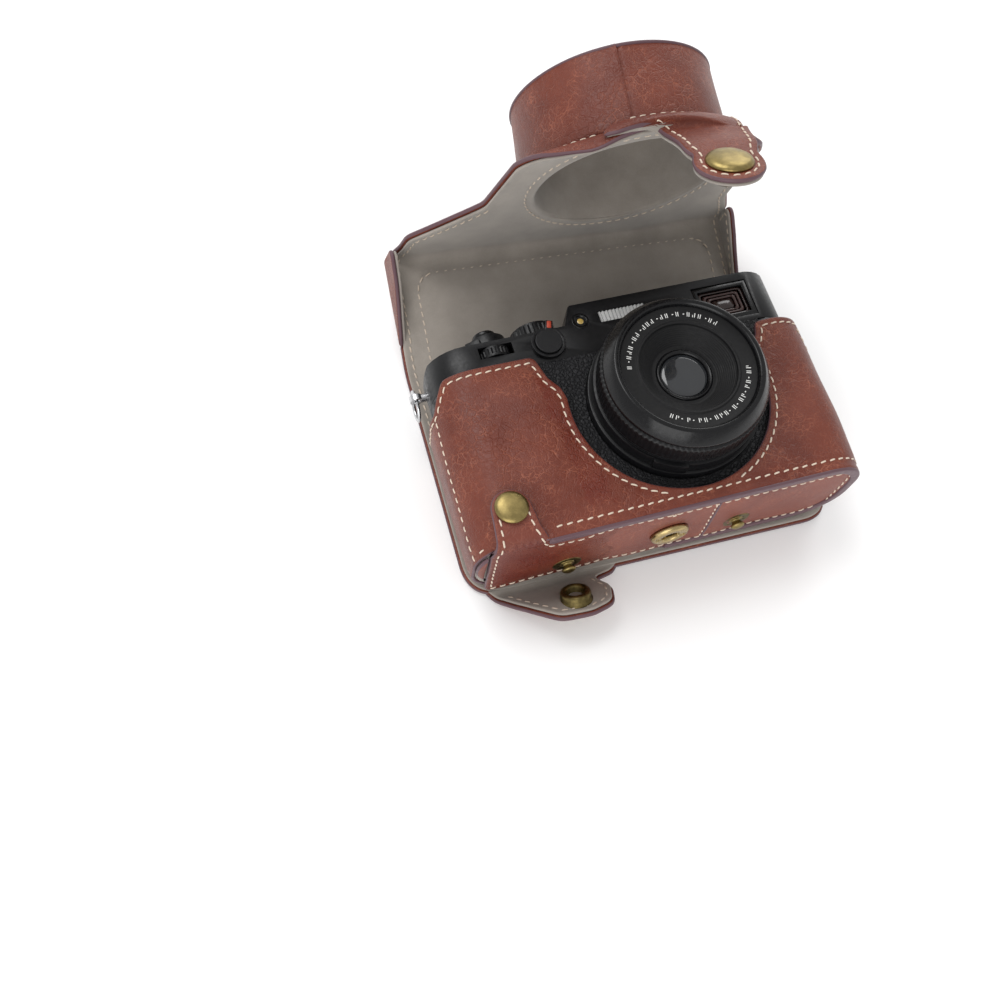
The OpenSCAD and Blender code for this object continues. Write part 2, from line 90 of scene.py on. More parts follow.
# Sizes of the frame that the soft pieces follow, in millimetres
case_lo, case_hi = (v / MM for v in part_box("case_shell"))
BASE_Y = -37.7  # the half case's foot
CASE_X0, CASE_X1 = case_lo.x, case_hi.x
CASE_Z0, CASE_Z1 = case_lo.z, case_hi.z
CASE_R = 15.0  # the half case's corners in plan
FOLD_Y, FOLD_Z = 46.5, 2.5
CUP_X, CUP_Y = 2.5, -1.5  # the lens cup's axis
STUD_X, STUD_Z = 15.4, 15.5  # the right stud, for the hood's tab
FLAP_X, FLAP_Z = -44.5, 13.5  # the left stud, for the bottom flap
FLAP_SNAP_Y = -52.7  # the bottom flap's snap, laid flat
SNAP_X, SNAP_Y = -63.4, -26  # the snap of the battery flap's tab
SCREW_X, SCREW_Z = -10, 19.8
LEVER_X, LEVER_Y = -33.7, 29  # the viewfinder lever's axis
LENS_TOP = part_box("front_ring")[1].z / MM


# ---- Settings ----


class CASE_PG_sizes(bpy.types.PropertyGroup):
    """Sizes of the leatherwork, in metres."""

    leather: FloatProperty(name="Leather", description="Thickness of the leather", default=0.0015,
                           unit="LENGTH", subtype="DISTANCE")
    lining: FloatProperty(name="Lining", description="Thickness of the lining", default=0.0011,
                          unit="LENGTH", subtype="DISTANCE")
    pad: FloatProperty(name="Back pad", description="How proud the quilted back pad stands",
                       default=0.0016, unit="LENGTH", subtype="DISTANCE")
    stitch: FloatProperty(name="Stitch", description="Length of one stitch", default=0.0024,
                          unit="LENGTH", subtype="DISTANCE")
    stitch_gap: FloatProperty(name="Stitch gap", description="Gap between two stitches",
                              default=0.0009, unit="LENGTH", subtype="DISTANCE")
    thread: FloatProperty(name="Thread", description="Radius of the thread", default=0.00030,
                          unit="LENGTH", subtype="DISTANCE")


def colour_property(name, what, rgb):
    return FloatVectorProperty(name=name, description=what, subtype="COLOR", size=3, min=0, max=1,
                               default=tuple(srgb(c) for c in rgb))


def srgb(c):
    """A display value from 0 to 255 as linear light."""
    c /= 255
    return c / 12.92 if c <= 0.04045 else ((c + 0.055) / 1.055) ** 2.4


class CASE_PG_colours(bpy.types.PropertyGroup):
    """Colours of the case and the camera."""

    leather: colour_property("Leather", "Main colour of the leather", (112, 53, 37))
    leather_dark: colour_property("Dark leather", "Leather where it is bent and darker", (84, 32, 20))
    leather_vein: colour_property("Vein", "Pulled-up lines in the leather", (172, 104, 78))
    edge_paint: colour_property("Edge paint", "Paint on the cut edges", (92, 68, 74))
    suede: colour_property("Suede", "Lining", (152, 144, 135))
    thread: colour_property("Thread", "Stitching", (226, 208, 188))
    brass: colour_property("Antique brass", "Caps and snaps", (160, 142, 92))
    bright_brass: colour_property("Bright brass", "Case screw", (190, 168, 120))
    black: colour_property("Black", "Painted metal", (14, 14, 16))


# ---- Materials ----


class Net:
    """Adds and joins shader nodes in one tree."""

    def __init__(self, tree):
        self.tree = tree

    def add(self, kind, inputs=(), **settings):
        node = self.tree.nodes.new(kind)
        for key, value in settings.items():
            setattr(node, key, value)
        for key, value in dict(inputs).items():
            if isinstance(value, bpy.types.NodeSocket):
                self.tree.links.new(value, node.inputs[key])
            else:
                node.inputs[key].default_value = value
        return node

    def math(self, operation, a, b=0.0, clamp=False):
        return self.add("ShaderNodeMath", {0: a, 1: b}, operation=operation, use_clamp=clamp).outputs[0]

    def ramp(self, value, low, high, out_low=0.0, out_high=1.0):
        return self.add("ShaderNodeMapRange", {"Value": value, "From Min": low, "From Max": high,
                                               "To Min": out_low, "To Max": out_high}).outputs[0]

    def mix(self, factor, a, b):
        node = self.add("ShaderNodeMix", data_type="RGBA")
        for socket, value in ((node.inputs[0], factor), (node.inputs[6], a), (node.inputs[7], b)):
            if isinstance(value, bpy.types.NodeSocket):
                self.tree.links.new(value, socket)
            else:
                socket.default_value = (*value, 1) if isinstance(value, (tuple, list)) else value
        return node.outputs[2]

    def noise(self, where, scale, detail=3.0, rough=0.55):
        return self.add("ShaderNodeTexNoise", {"Vector": where, "Scale": scale, "Detail": detail,
                                               "Roughness": rough}).outputs[0]


def new_group(name, inputs, outputs):
    """A shader node group with float inputs and named outputs."""
    tree = bpy.data.node_groups.new(name, "ShaderNodeTree")
    for key, value in inputs:
        socket = tree.interface.new_socket(name=key, in_out="INPUT", socket_type="NodeSocketFloat")
        socket.default_value = value
    for key in outputs:
        tree.interface.new_socket(name=key, in_out="OUTPUT", socket_type="NodeSocketFloat")
    net = Net(tree)
    return net, net.add("NodeGroupInput").outputs, net.add("NodeGroupOutput").inputs


def build_groups():
    """Leather grain, suede nap and metal patina, shared by the materials."""
    net, given, out = new_group("Leather grain", [("Cell", 330.0), ("Crease", 1.0)],
                                ("Height", "Vein", "Tone"))
    where = net.add("ShaderNodeTexCoord").outputs["Object"]
    drift = net.add("ShaderNodeTexNoise", {"Vector": where, "Scale": 140.0, "Detail": 3.0})
    bend = net.add("ShaderNodeVectorMath", {0: drift.outputs[1], 1: (0.008, 0.008, 0.008)},
                   operation="MULTIPLY").outputs[0]
    warped = net.add("ShaderNodeVectorMath", {0: where, 1: bend}, operation="ADD").outputs[0]
    cells = net.add("ShaderNodeTexVoronoi", {"Vector": warped, "Scale": given["Cell"]},
                    feature="DISTANCE_TO_EDGE").outputs["Distance"]
    small = net.add("ShaderNodeTexVoronoi", {"Vector": warped,
                    "Scale": net.math("MULTIPLY", given["Cell"], 3.1)},
                    feature="DISTANCE_TO_EDGE").outputs["Distance"]
    patch = net.ramp(net.noise(where, 55.0), 0.42, 0.62)
    crease = net.math("MULTIPLY", net.ramp(cells, 0.0, 0.10, 1.0, 0.0), patch)
    fine = net.ramp(small, 0.0, 0.14, 1.0, 0.0)
    pores = net.noise(where, 2600.0, 2.0)
    height = net.math("MULTIPLY", crease, given["Crease"])
    height = net.math("SUBTRACT", net.math("MULTIPLY", pores, 0.28), height)
    height = net.math("SUBTRACT", height, net.math("MULTIPLY", fine, 0.35))
    net.tree.links.new(height, out["Height"])
    lines = net.math("MAXIMUM", net.ramp(cells, 0.0, 0.045, 1.0, 0.0),
                     net.math("MULTIPLY", net.ramp(small, 0.0, 0.07, 1.0, 0.0), 0.55))
    worn = net.ramp(net.noise(where, 95.0, 4.0, 0.65), 0.40, 0.66)
    net.tree.links.new(net.math("MULTIPLY", lines, worn), out["Vein"])
    net.tree.links.new(net.ramp(net.noise(where, 42.0, 5.0, 0.6), 0.33, 0.68), out["Tone"])

    net, given, out = new_group("Suede nap", [("Scale", 1.0)], ("Height", "Tone"))
    where = net.add("ShaderNodeTexCoord").outputs["Object"]
    fibre = net.noise(where, net.math("MULTIPLY", given["Scale"], 3800.0), 2.0, 0.7)
    cloud = net.noise(where, net.math("MULTIPLY", given["Scale"], 70.0), 4.0, 0.6)
    net.tree.links.new(fibre, out["Height"])
    net.tree.links.new(net.ramp(net.math("ADD", net.math("MULTIPLY", fibre, 0.55), cloud), 0.55, 1.0),
                       out["Tone"])

    net, given, out = new_group("Metal patina", [("Scale", 1.0)], ("Stain", "Scratch"))
    where = net.add("ShaderNodeTexCoord").outputs["Object"]
    blot = net.noise(where, net.math("MULTIPLY", given["Scale"], 420.0), 5.0, 0.65)
    net.tree.links.new(net.ramp(blot, 0.38, 0.68), out["Stain"])
    scratch = net.add("ShaderNodeMapping", {"Vector": where, "Scale": (1.0, 7.0, 2.0)}).outputs[0]
    net.tree.links.new(net.noise(scratch, net.math("MULTIPLY", given["Scale"], 900.0), 3.0, 0.6),
                       out["Scratch"])


def start_material(name, **constants):
    material = bpy.data.materials.new(name)
    material.use_nodes = True
    net = Net(material.node_tree)
    shader = material.node_tree.nodes["Principled BSDF"]
    for key, value in constants.items():
        shader.inputs[key.replace("_", " ")].default_value = value
    return material, net, shader


def add_group(net, name, **values):
    return net.add("ShaderNodeGroup", {k.replace("_", " "): v for k, v in values.items()},
                   node_tree=bpy.data.node_groups[name]).outputs


def bump(net, shader, height, strength, distance):
    node = net.add("ShaderNodeBump", {"Height": height, "Strength": strength, "Distance": distance})
    net.tree.links.new(node.outputs[0], shader.inputs["Normal"])


def leather(name, middle, dark, vein, crease=1.0, cell=330.0, rough=0.42, rich=0.0):
    """Waxed pull-up leather: darker clouds, paler pulled lines, and creased grain."""
    material, net, shader = start_material(name, Coat_Weight=0.04, Coat_Roughness=0.3,
                                           Specular_IOR_Level=0.32)
    grain = add_group(net, "Leather grain", Cell=cell, Crease=crease)
    base = net.mix(net.ramp(grain["Tone"], 0.0, 1.0, 0.75 + rich, 0.0), middle, dark)
    base = net.mix(net.math("MULTIPLY", grain["Vein"], 0.62), base, vein)
    net.tree.links.new(base, shader.inputs["Base Color"])
    net.tree.links.new(net.ramp(grain["Tone"], 0.0, 1.0, rough - 0.05, rough + 0.10),
                       shader.inputs["Roughness"])
    bump(net, shader, grain["Height"], 0.6, 0.00026)
    return material


def suede(name, colour, dark=0.72):
    material, net, shader = start_material(name, Sheen_Weight=0.25, Sheen_Roughness=0.6)
    nap = add_group(net, "Suede nap", Scale=1.0)
    deep = tuple(c * dark for c in colour)
    net.tree.links.new(net.mix(nap["Tone"], deep, colour), shader.inputs["Base Color"])
    net.tree.links.new(net.ramp(nap["Tone"], 0.0, 1.0, 0.95, 0.82), shader.inputs["Roughness"])
    bump(net, shader, nap["Height"], 0.35, 0.00012)
    return material


def metal(name, colour, rough=0.34, stain=0.55, scale=1.0):
    """Plated brass or steel with a stained, lightly scratched face."""
    material, net, shader = start_material(name, Metallic=1.0)
    patina = add_group(net, "Metal patina", Scale=scale)
    deep = tuple(c * stain for c in colour)
    net.tree.links.new(net.mix(patina["Stain"], deep, colour), shader.inputs["Base Color"])
    net.tree.links.new(net.ramp(patina["Scratch"], 0.3, 0.7, rough - 0.07, rough + 0.12),
                       shader.inputs["Roughness"])
    bump(net, shader, patina["Scratch"], 0.10, 0.00005)
    return material


def painted(name, colour, rough=0.36, grain=900.0, depth=0.00003, pale=1.8):
    """Black paint or moulded plastic with a fine even texture and small rubbed spots."""
    material, net, shader = start_material(name, Specular_IOR_Level=0.3)
    where = net.add("ShaderNodeTexCoord").outputs["Object"]
    speck = net.noise(where, grain, 2.0)
    rub = net.ramp(net.noise(where, 160.0, 6.0, 0.7), 0.62, 0.78)
    net.tree.links.new(net.mix(net.math("MULTIPLY", rub, 0.5), colour,
                               tuple(c * pale + 0.004 for c in colour)),
                       shader.inputs["Base Color"])
    net.tree.links.new(net.ramp(speck, 0.3, 0.7, rough - 0.06, rough + 0.10),
                       shader.inputs["Roughness"])
    bump(net, shader, speck, 0.25, depth)
    return material


def pebbled(name, colour):
    """Leatherette pressed with a coarse pebble grain, with painted shade darkening the grooves between the
    pebbles.
    """
    material, net, shader = start_material(name, Specular_IOR_Level=0.3)
    where = net.add("ShaderNodeTexCoord").outputs["Object"]
    shift = net.add("ShaderNodeTexNoise", {"Vector": where, "Scale": 500.0})
    bend = net.add("ShaderNodeVectorMath", {0: shift.outputs[1], 1: (0.0016, 0.0016, 0.0016)},
                   operation="MULTIPLY").outputs[0]
    warped = net.add("ShaderNodeVectorMath", {0: where, 1: bend}, operation="ADD").outputs[0]
    cells = net.add("ShaderNodeTexVoronoi", {"Vector": warped, "Scale": 760.0},
                    feature="DISTANCE_TO_EDGE").outputs["Distance"]
    pebble = net.ramp(cells, 0.0, 0.22)
    # painted shade: the colour falls to under half in the grooves between the pebbles
    net.tree.links.new(net.mix(pebble, tuple(c * 0.45 for c in colour), colour),
                       shader.inputs["Base Color"])
    net.tree.links.new(net.ramp(pebble, 0.0, 1.0, 0.70, 0.42), shader.inputs["Roughness"])
    bump(net, shader, pebble, 0.8, 0.00035)
    return material


def threaded(name, colour):
    material, net, shader = start_material(name, Sheen_Weight=0.2)
    where = net.add("ShaderNodeTexCoord").outputs["Object"]
    strand = net.noise(where, 3200.0, 2.0)
    net.tree.links.new(net.mix(strand, tuple(c * 0.72 for c in colour), colour),
                       shader.inputs["Base Color"])
    net.tree.links.new(net.ramp(strand, 0.3, 0.7, 0.6, 0.85), shader.inputs["Roughness"])
    bump(net, shader, strand, 0.5, 0.0001)
    return material


def lens_glass(name, colour, rough=0.05, coat=0.6):
    """Coated dark glass over a black inside, as an opaque gloss."""
    material, net, shader = start_material(name, Coat_Weight=coat, Coat_Roughness=0.03,
                                           Specular_IOR_Level=0.45)
    where = net.add("ShaderNodeTexCoord").outputs["Object"]
    haze = net.noise(where, 90.0, 2.0)
    net.tree.links.new(net.mix(haze, tuple(c * 0.6 for c in colour), colour),
                       shader.inputs["Base Color"])
    net.tree.links.new(net.ramp(haze, 0.3, 0.7, rough, rough + 0.06), shader.inputs["Roughness"])
    return material


MAT = {}


def build_materials():
    c = bpy.context.scene.case_colours
    build_groups()
    brown, dark, vein = tuple(c.leather), tuple(c.leather_dark), tuple(c.leather_vein)
    MAT["leather"] = leather("Brown leather", brown, dark, vein)
    MAT["smooth_leather"] = leather("Smooth base leather", tuple(x * 1.15 + 0.018 for x in brown),
                                    tuple(x * 1.25 for x in dark), tuple(x * 0.9 for x in vein),
                                    crease=0.35, cell=260.0, rough=0.44)
    MAT["creased_leather"] = leather("Creased red leather", tuple(x * 0.95 for x in brown),
                                     tuple(x * y for x, y in zip(dark, (1.25, 0.75, 0.6))), vein,
                                     crease=1.6, cell=420.0, rough=0.36, rich=0.2)
    MAT["edge"] = painted("Painted leather edge", tuple(c.edge_paint), 0.42, 700.0, 0.00008, 1.15)
    MAT["suede"] = suede("Grey suede lining", tuple(c.suede))
    MAT["pad"] = suede("Quilted pad suede", tuple(x * 0.93 for x in c.suede), 0.78)
    MAT["thread"] = threaded("Cream thread", tuple(c.thread))
    MAT["pale_thread"] = threaded("Lining thread", tuple(x * 0.80 for x in c.thread))
    MAT["brass"] = metal("Antique brass", tuple(c.brass), 0.36, 0.62)
    MAT["old_brass"] = metal("Dark antique brass", tuple(x * 0.55 for x in c.brass), 0.40, 0.45)
    MAT["bright_brass"] = metal("Bright brass", tuple(c.bright_brass), 0.26, 0.75)
    MAT["steel"] = metal("Steel", (0.62, 0.62, 0.63), 0.24, 0.8)
    MAT["satin_steel"] = metal("Satin steel", (0.42, 0.42, 0.43), 0.38, 0.8)
    black = tuple(c.black)
    MAT["black_metal"] = painted("Black painted metal", black, 0.34)
    MAT["black_gloss"] = painted("Gloss black metal", tuple(x * 0.8 for x in black), 0.20)
    MAT["black_matt"] = painted("Matt black", tuple(x * 0.55 for x in black), 0.55)
    MAT["black_plastic"] = painted("Black plastic", tuple(x * 1.1 for x in black), 0.42, 1300.0)
    MAT["leatherette"] = pebbled("Black leatherette", (0.012, 0.012, 0.014))
    MAT["white_mark"] = painted("White filling", (0.72, 0.72, 0.70), 0.5, 900.0, 0.00002, 1.02)
    MAT["red_mark"] = painted("Red filling", (0.36, 0.045, 0.02), 0.45, 900.0, 0.00002, 1.1)
    MAT["glass"] = lens_glass("Coated lens glass", (0.022, 0.024, 0.027))
    MAT["window"] = lens_glass("Viewfinder window", (0.030, 0.014, 0.012), 0.16, 0.15)
    MAT["window_inner"] = lens_glass("Viewfinder inner frame", (0.062, 0.028, 0.024), 0.35, 0.0)
    MAT["screen"] = lens_glass("Rear screen glass", (0.010, 0.010, 0.012))
    MAT["amber"] = lens_glass("Amber lamp", (0.55, 0.38, 0.10), 0.12)
    MAT["flash"] = lens_glass("Flash lens", (0.62, 0.62, 0.61), 0.16, 0.5)
    MAT["alloy"] = metal("Bare alloy", (0.55, 0.55, 0.56), 0.45, 0.85)
    MAT["board"] = painted("Circuit board", (0.02, 0.10, 0.045), 0.5)
    MAT["cell"] = painted("Battery case", (0.06, 0.065, 0.07), 0.5)


# ---- Outlines in the flat ----


def spaced(points, step=1.2, closed=True):
    """The same line with evenly spaced points."""
    pts = [Vector(p) for p in points]
    if closed:
        pts.append(pts[0])
    length = sum((b - a).length for a, b in zip(pts, pts[1:]))
    count = max(3, round(length / step))
    out, walked, i = [], 0.0, 0
    for k in range(count if closed else count + 1):
        target = length * k / count
        while i < len(pts) - 2 and walked + (pts[i + 1] - pts[i]).length < target - 1e-9:
            walked += (pts[i + 1] - pts[i]).length
            i += 1
        a, b = pts[i], pts[i + 1]
        share = (target - walked) / max((b - a).length, 1e-9)
        out.append(a.lerp(b, min(max(share, 0), 1)))
    return out


def rounded(corners, step=0.9):
    """A closed outline whose corners (u, v, radius) are rounded."""
    out, n = [], len(corners)
    for i, (u, v, r) in enumerate(corners):
        p = Vector((u, v))
        a = Vector(corners[i - 1][:2]) - p
        b = Vector(corners[(i + 1) % n][:2]) - p
        if r <= 0:
            out.append(p)
            continue
        half = a.angle(b) / 2
        cut = min(r / max(math.tan(half), 1e-3), a.length * 0.49, b.length * 0.49)
        start, end = p + a.normalized() * cut, p + b.normalized() * cut
        count = max(2, int(2 * cut / step))
        for k in range(count + 1):
            t = k / count
            out.append((1 - t) ** 2 * start + 2 * t * (1 - t) * p + t * t * end)
    return out


def arc(cx, cy, r, a0, a1, step=1.0):
    """Points round a circle from one angle to another, in degrees."""
    count = max(2, int(abs(math.radians(a1 - a0)) * r / step))
    angles = [math.radians(a0 + (a1 - a0) * k / count) for k in range(count + 1)]
    return [Vector((cx + r * math.cos(a), cy + r * math.sin(a))) for a in angles]


def area(loop):
    return sum(a.x * b.y - b.x * a.y for a, b in zip(loop, loop[1:] + loop[:1])) / 2


def inset(loop, d):
    """A closed loop moved to its left by d."""
    n, out = len(loop), []
    for i, p in enumerate(loop):
        t = loop[(i + 1) % n] - loop[i - 1]
        if t.length > 1e-9:
            out.append(p + Vector((-t.y, t.x)).normalized() * d)
    return out


def segments(loops):
    a = np.array([p[:] for loop in loops for p in loop])
    b = np.array([p[:] for loop in loops for p in loop[1:] + loop[:1]])
    return a, b


def distance(points, loops):
    """How far each point is from the nearest loop."""
    a, b = segments(loops)
    p = np.array(points, float)
    best = np.full(len(p), 1e9)
    along = b - a
    size = np.maximum((along ** 2).sum(1), 1e-12)
    for k in range(0, len(p), 2000):
        q = p[k:k + 2000, None, :] - a[None]
        t = np.clip((q * along).sum(2) / size, 0, 1)
        best[k:k + 2000] = np.sqrt(((q - along * t[..., None]) ** 2).sum(2)).min(1)
    return best


def inside(points, loops):
    """Which points lie inside an odd number of the loops."""
    a, b = segments(loops)
    p = np.array(points, float)
    hits = np.zeros(len(p), int)
    for k in range(0, len(p), 2000):
        x, y = p[k:k + 2000, :1], p[k:k + 2000, 1:]
        spans = (a[:, 1] > y) != (b[:, 1] > y)
        cross = a[:, 0] + (y - a[:, 1]) * (b[:, 0] - a[:, 0]) / np.where(spans, b[:, 1] - a[:, 1], 1)
        hits[k:k + 2000] = (spans & (x < cross)).sum(1)
    return hits % 2 == 1


def loops_of(outline, holes=(), step=1.2):
    """Loops with the material always on their left."""
    out = []
    for k, line in enumerate([outline, *holes]):
        loop = spaced(line, step)
        if (area(loop) > 0) != (k == 0):
            loop.reverse()
        out.append(loop)
    return out


RIM = (0.12, 0.35, 0.75, 1.4, 2.3, 3.4)


def triangles(loops, spacing, rim=RIM):
    """Points and triangles over the loops, with rows of points beside their edges."""
    points, edges = [], []
    for loop in loops:
        first = len(points)
        points += loop
        edges += [(first + i, first + (i + 1) % len(loop)) for i in range(len(loop))]
    rows = [p for d in rim for loop in loops for p in inset(loop, d)]
    depth = [d for d in rim for loop in loops for _ in inset(loop, d)]
    keep = (distance(rows, loops) > 0.9 * np.array(depth)) & inside(rows, loops)
    points += [p for p, k in zip(rows, keep) if k]
    us, vs = [p.x for p in loops[0]], [p.y for p in loops[0]]
    grid = [Vector((u + (spacing / 2 if j % 2 else 0), v))
            for j, v in enumerate(np.arange(min(vs), max(vs), spacing * 0.87))
            for u in np.arange(min(us), max(us), spacing)]
    keep = (distance(grid, loops) > rim[-1] + spacing * 0.45) & inside(grid, loops)
    points += [p for p, k in zip(grid, keep) if k]
    flat, _, faces, *_ = geometry.delaunay_2d_cdt([Vector(p) for p in points], edges, [], 1, 1e-4)
    centres = [sum((flat[i] for i in f), Vector((0, 0))) / len(f) for f in faces]
    faces = [f for f, k in zip(faces, inside(centres, loops)) if k]
    used = sorted({i for f in faces for i in f})
    place = {i: n for n, i in enumerate(used)}
    return [flat[i] for i in used], [[place[i] for i in f] for f in faces]


def new_piece(name, verts, faces, materials, material_of=None, smooth=True):
    """A mesh object from points in metres."""
    mesh = bpy.data.meshes.new(name)
    mesh.from_pydata([v[:] for v in verts], [], faces)
    for key in materials:
        mesh.materials.append(MAT[key])
    if material_of is not None:
        mesh.polygons.foreach_set("material_index", material_of)
    work = bmesh.new()
    work.from_mesh(mesh)
    bmesh.ops.remove_doubles(work, verts=work.verts, dist=1e-7)
    bmesh.ops.recalc_face_normals(work, faces=work.faces)
    for face in work.faces:
        face.smooth = smooth
    work.to_mesh(mesh)
    work.free()
    piece = bpy.data.objects.new(name, mesh)
    bpy.context.collection.objects.link(piece)
    return piece


def thicken(piece, depth):
    """Gives flat marks a depth in metres."""
    work = bmesh.new()
    work.from_mesh(piece.data)
    bmesh.ops.solidify(work, geom=work.faces, thickness=depth)
    work.to_mesh(piece.data)
    work.free()


def sheet(name, loops, place, thick, materials=("leather", "edge"), spacing=2.6, rise=None, rim=RIM,
          edge_width=0.55, region=None, painted=None):
    """A sheet of leather or lining with rounded edges. place(u, v, h) gives a point in metres;
    rise(u, v, d) adds to the outer face; region(u, v) may give another material's number, and
    painted(u, v) says where the edge has paint."""
    flat, faces = triangles(loops, spacing, rim)
    gap = distance(flat, loops)
    n, half = len(flat), thick / 2
    curve = np.sqrt(np.clip(1 - (1 - np.clip(gap / half, 0, 1)) ** 2, 0, 1)) * half
    verts = []
    for p, d, h in zip(flat, gap, curve):
        verts.append(place(p.x, p.y, h + (rise(p.x, p.y, d) if rise else 0)))
    under, extra = {}, []
    for i, (p, d, h) in enumerate(zip(flat, gap, curve)):
        if d < 1e-3:
            under[i] = i
        else:
            under[i] = n + len(extra)
            extra.append(place(p.x, p.y, -h))
    kinds = []
    for f in faces:
        centre = sum((flat[i] for i in f), Vector((0, 0))) / 3
        at_edge = max(gap[i] for i in f) < edge_width and (painted is None or painted(*centre))
        kind = 1 if at_edge else (region(*centre) if region else 0)
        kinds.append(kind)
    every = faces + [[under[i] for i in reversed(f)] for f in faces]
    return new_piece(name, verts + extra, every, materials, kinds + kinds)


STITCH_SLANT = math.radians(8.0)
# Along the stitch, out of the leather and thickness, for each ring of its capsule
STITCH_RINGS = ((-0.5, -0.9, 0.55), (-0.34, 0.25, 0.95), (0, 0.55, 1.0), (0.34, 0.25, 0.95),
                (0.5, -0.9, 0.55))


def stitches(name, runs, place, lift=0.0, material="thread"):
    """Rows of thread along lines in the flat, one small curved capsule for each stitch."""
    sizes = bpy.context.scene.case_sizes
    long, gap, thick = sizes.stitch / MM, sizes.stitch_gap / MM, sizes.thread
    verts, faces = [], []
    sides, rings = 6, STITCH_RINGS
    for run in runs:
        line = [place(p[0], p[1], lift) for p in run]
        above = [place(p[0], p[1], lift + 0.5) for p in run]
        steps = [0.0]
        for a, b in zip(line, line[1:]):
            steps.append(steps[-1] + (b - a).length)
        count = max(1, round(steps[-1] / MM / (long + gap)))
        pitch = steps[-1] / count
        for k in range(count):
            middle = (k + 0.5) * pitch
            i = min(max(int(np.searchsorted(steps, middle)) - 1, 0), len(line) - 2)
            share = (middle - steps[i]) / max(steps[i + 1] - steps[i], 1e-9)
            spot = line[i].lerp(line[i + 1], share)
            up = (above[i].lerp(above[i + 1], share) - spot).normalized()
            lo, hi = max(i - 1, 0), min(i + 2, len(line) - 1)
            along = (line[hi] - line[lo]).normalized()
            along = Matrix.Rotation(STITCH_SLANT, 3, up) @ along
            across = up.cross(along).normalized()
            first = len(verts)
            for t, rise, wide in rings:
                centre = spot + along * t * pitch * long / (long + gap) + up * rise * thick
                for s in range(sides):
                    a = math.tau * s / sides
                    verts.append(centre + (across * math.cos(a) + up * math.sin(a) * 0.8) * thick * wide)
            for r in range(len(rings) - 1):
                for s in range(sides):
                    a, b = first + r * sides + s, first + r * sides + (s + 1) % sides
                    faces.append((a, b, b + sides, a + sides))
            faces.append([first + s for s in range(sides)])
            faces.append([first + (len(rings) - 1) * sides + s for s in reversed(range(sides))])
    return new_piece(name, verts, faces, [material])


def runs_of(loop, d, keep=None):
    """The parts of a loop's inset line that keep(u, v) allows, as open lines."""
    line = inset(loop, d)
    line = [p for p, far in zip(line, distance(line, [loop])) if far > 0.85 * d]
    flags = [keep is None or keep(p.x, p.y) for p in line]
    if all(flags):
        return [line + line[:1]]
    start = next(i for i in range(len(line)) if not flags[i - 1] and flags[i])
    out, run = [], []
    for k in range(len(line)):
        i = (start + k) % len(line)
        if flags[i]:
            run.append(line[i])
        elif run:
            out.append(run)
            run = []
    if run:
        out.append(run)
    return [r for r in out if len(r) > 3]


def lathe(name, profile, materials, place=None, steps=72, kinds=None, wave=None):
    """Turns a profile of (radius, height) in millimetres round Z, then places it."""
    place = place or Matrix.Identity(4)
    verts, faces, marks = [], [], []
    n = len(profile)
    for k in range(steps):
        a = math.tau * k / steps
        for i, (r, z) in enumerate(profile):
            if wave:
                r, z = wave(i, a, r, z)
            verts.append(place @ (Vector((r * math.cos(a), r * math.sin(a), z)) * MM))
    for k in range(steps):
        for i in range(n):
            j = (i + 1) % n
            a, b = k * n, (k + 1) % steps * n
            if profile[i][0] < 1e-6 and profile[j][0] < 1e-6:
                continue
            faces.append((a + i, b + i, b + j, a + j))
            marks.append(kinds[i] if kinds else 0)
    return new_piece(name, verts, [tuple(dict.fromkeys(f)) for f in faces], materials, marks)


def softened_profile(points, r=0.3):
    """A closed profile with its corners rounded."""
    out, n = [], len(points)
    for i, p in enumerate(points):
        p = Vector(p)
        a, b = Vector(points[i - 1]) - p, Vector(points[(i + 1) % n]) - p
        if p.x < 1e-6 or a.angle(b) > math.radians(165):
            out.append(tuple(p))
            continue
        cut = min(r, a.length * 0.45, b.length * 0.45)
        s, e = p + a.normalized() * cut, p + b.normalized() * cut
        out += [tuple(s), tuple(0.25 * s + 0.5 * p + 0.25 * e), tuple(e)]
    return out


def settle(piece, body=None, replaces=(), bend=None):
    """Puts a finished piece on its body, or, when a bend is given, bakes its placing into its mesh and leaves it
    on no body.
    """
    if bend:
        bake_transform(piece)
    else:
        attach(piece, body)
    if replaces:
        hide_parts(*replaces)
    return piece


def wave(u, v, size, scale, seed=0.0):
    """A gentle unevenness of the leather."""
    return size * noise.noise(Vector((u * scale, v * scale, seed)))


def bell(t):
    """A bump that is 1 at t = 0 and has faded away by t = 2."""
    return math.exp(-t ** 2)


def smooth(t):
    """A soft step from 0 to 1 as t goes from 0 to 1."""
    t = min(max(t, 0.0), 1.0)
    return t * t * (3 - 2 * t)


# ---- The cover: back panel, fold, top panel and front panel in one sheet ----

# Lengths along the hood from its fold, and where its front panel lies in the flat cover
BEND_R = 5.0
FLAT_END = 38.0
ARC_END = FLAT_END + BEND_R * math.pi / 2
FRONT_V = FOLD_Y + ARC_END + FOLD_Y + 1.0 - BEND_R
ROLL_R, CUP_FOOT = 9.0, 35.6  # how the ring's edge rolls over, from the cup's foot outwards


def on_front(x, y, z, out):
    """A point of the closed front panel, whose edge rolls over between the cup and the tab.
    z is the panel's height and out how far the point stands out of it."""
    dx, dy = x - CUP_X, y - CUP_Y
    r = math.hypot(dx, dy)
    side = abs(math.atan2(dx, -dy) - 0.15)
    w = smooth((1.35 - side) / 0.7)
    if r <= CUP_FOOT or w < 0.01:
        return Vector((x, y, z + out))
    a = (r - CUP_FOOT) * w / ROLL_R
    reach = CUP_FOOT + math.sin(a) * (ROLL_R / w + out)
    return Vector((CUP_X + dx / r * reach, CUP_Y + dy / r * reach,
                   z - ROLL_R / w * (1 - math.cos(a)) + out * math.cos(a)))


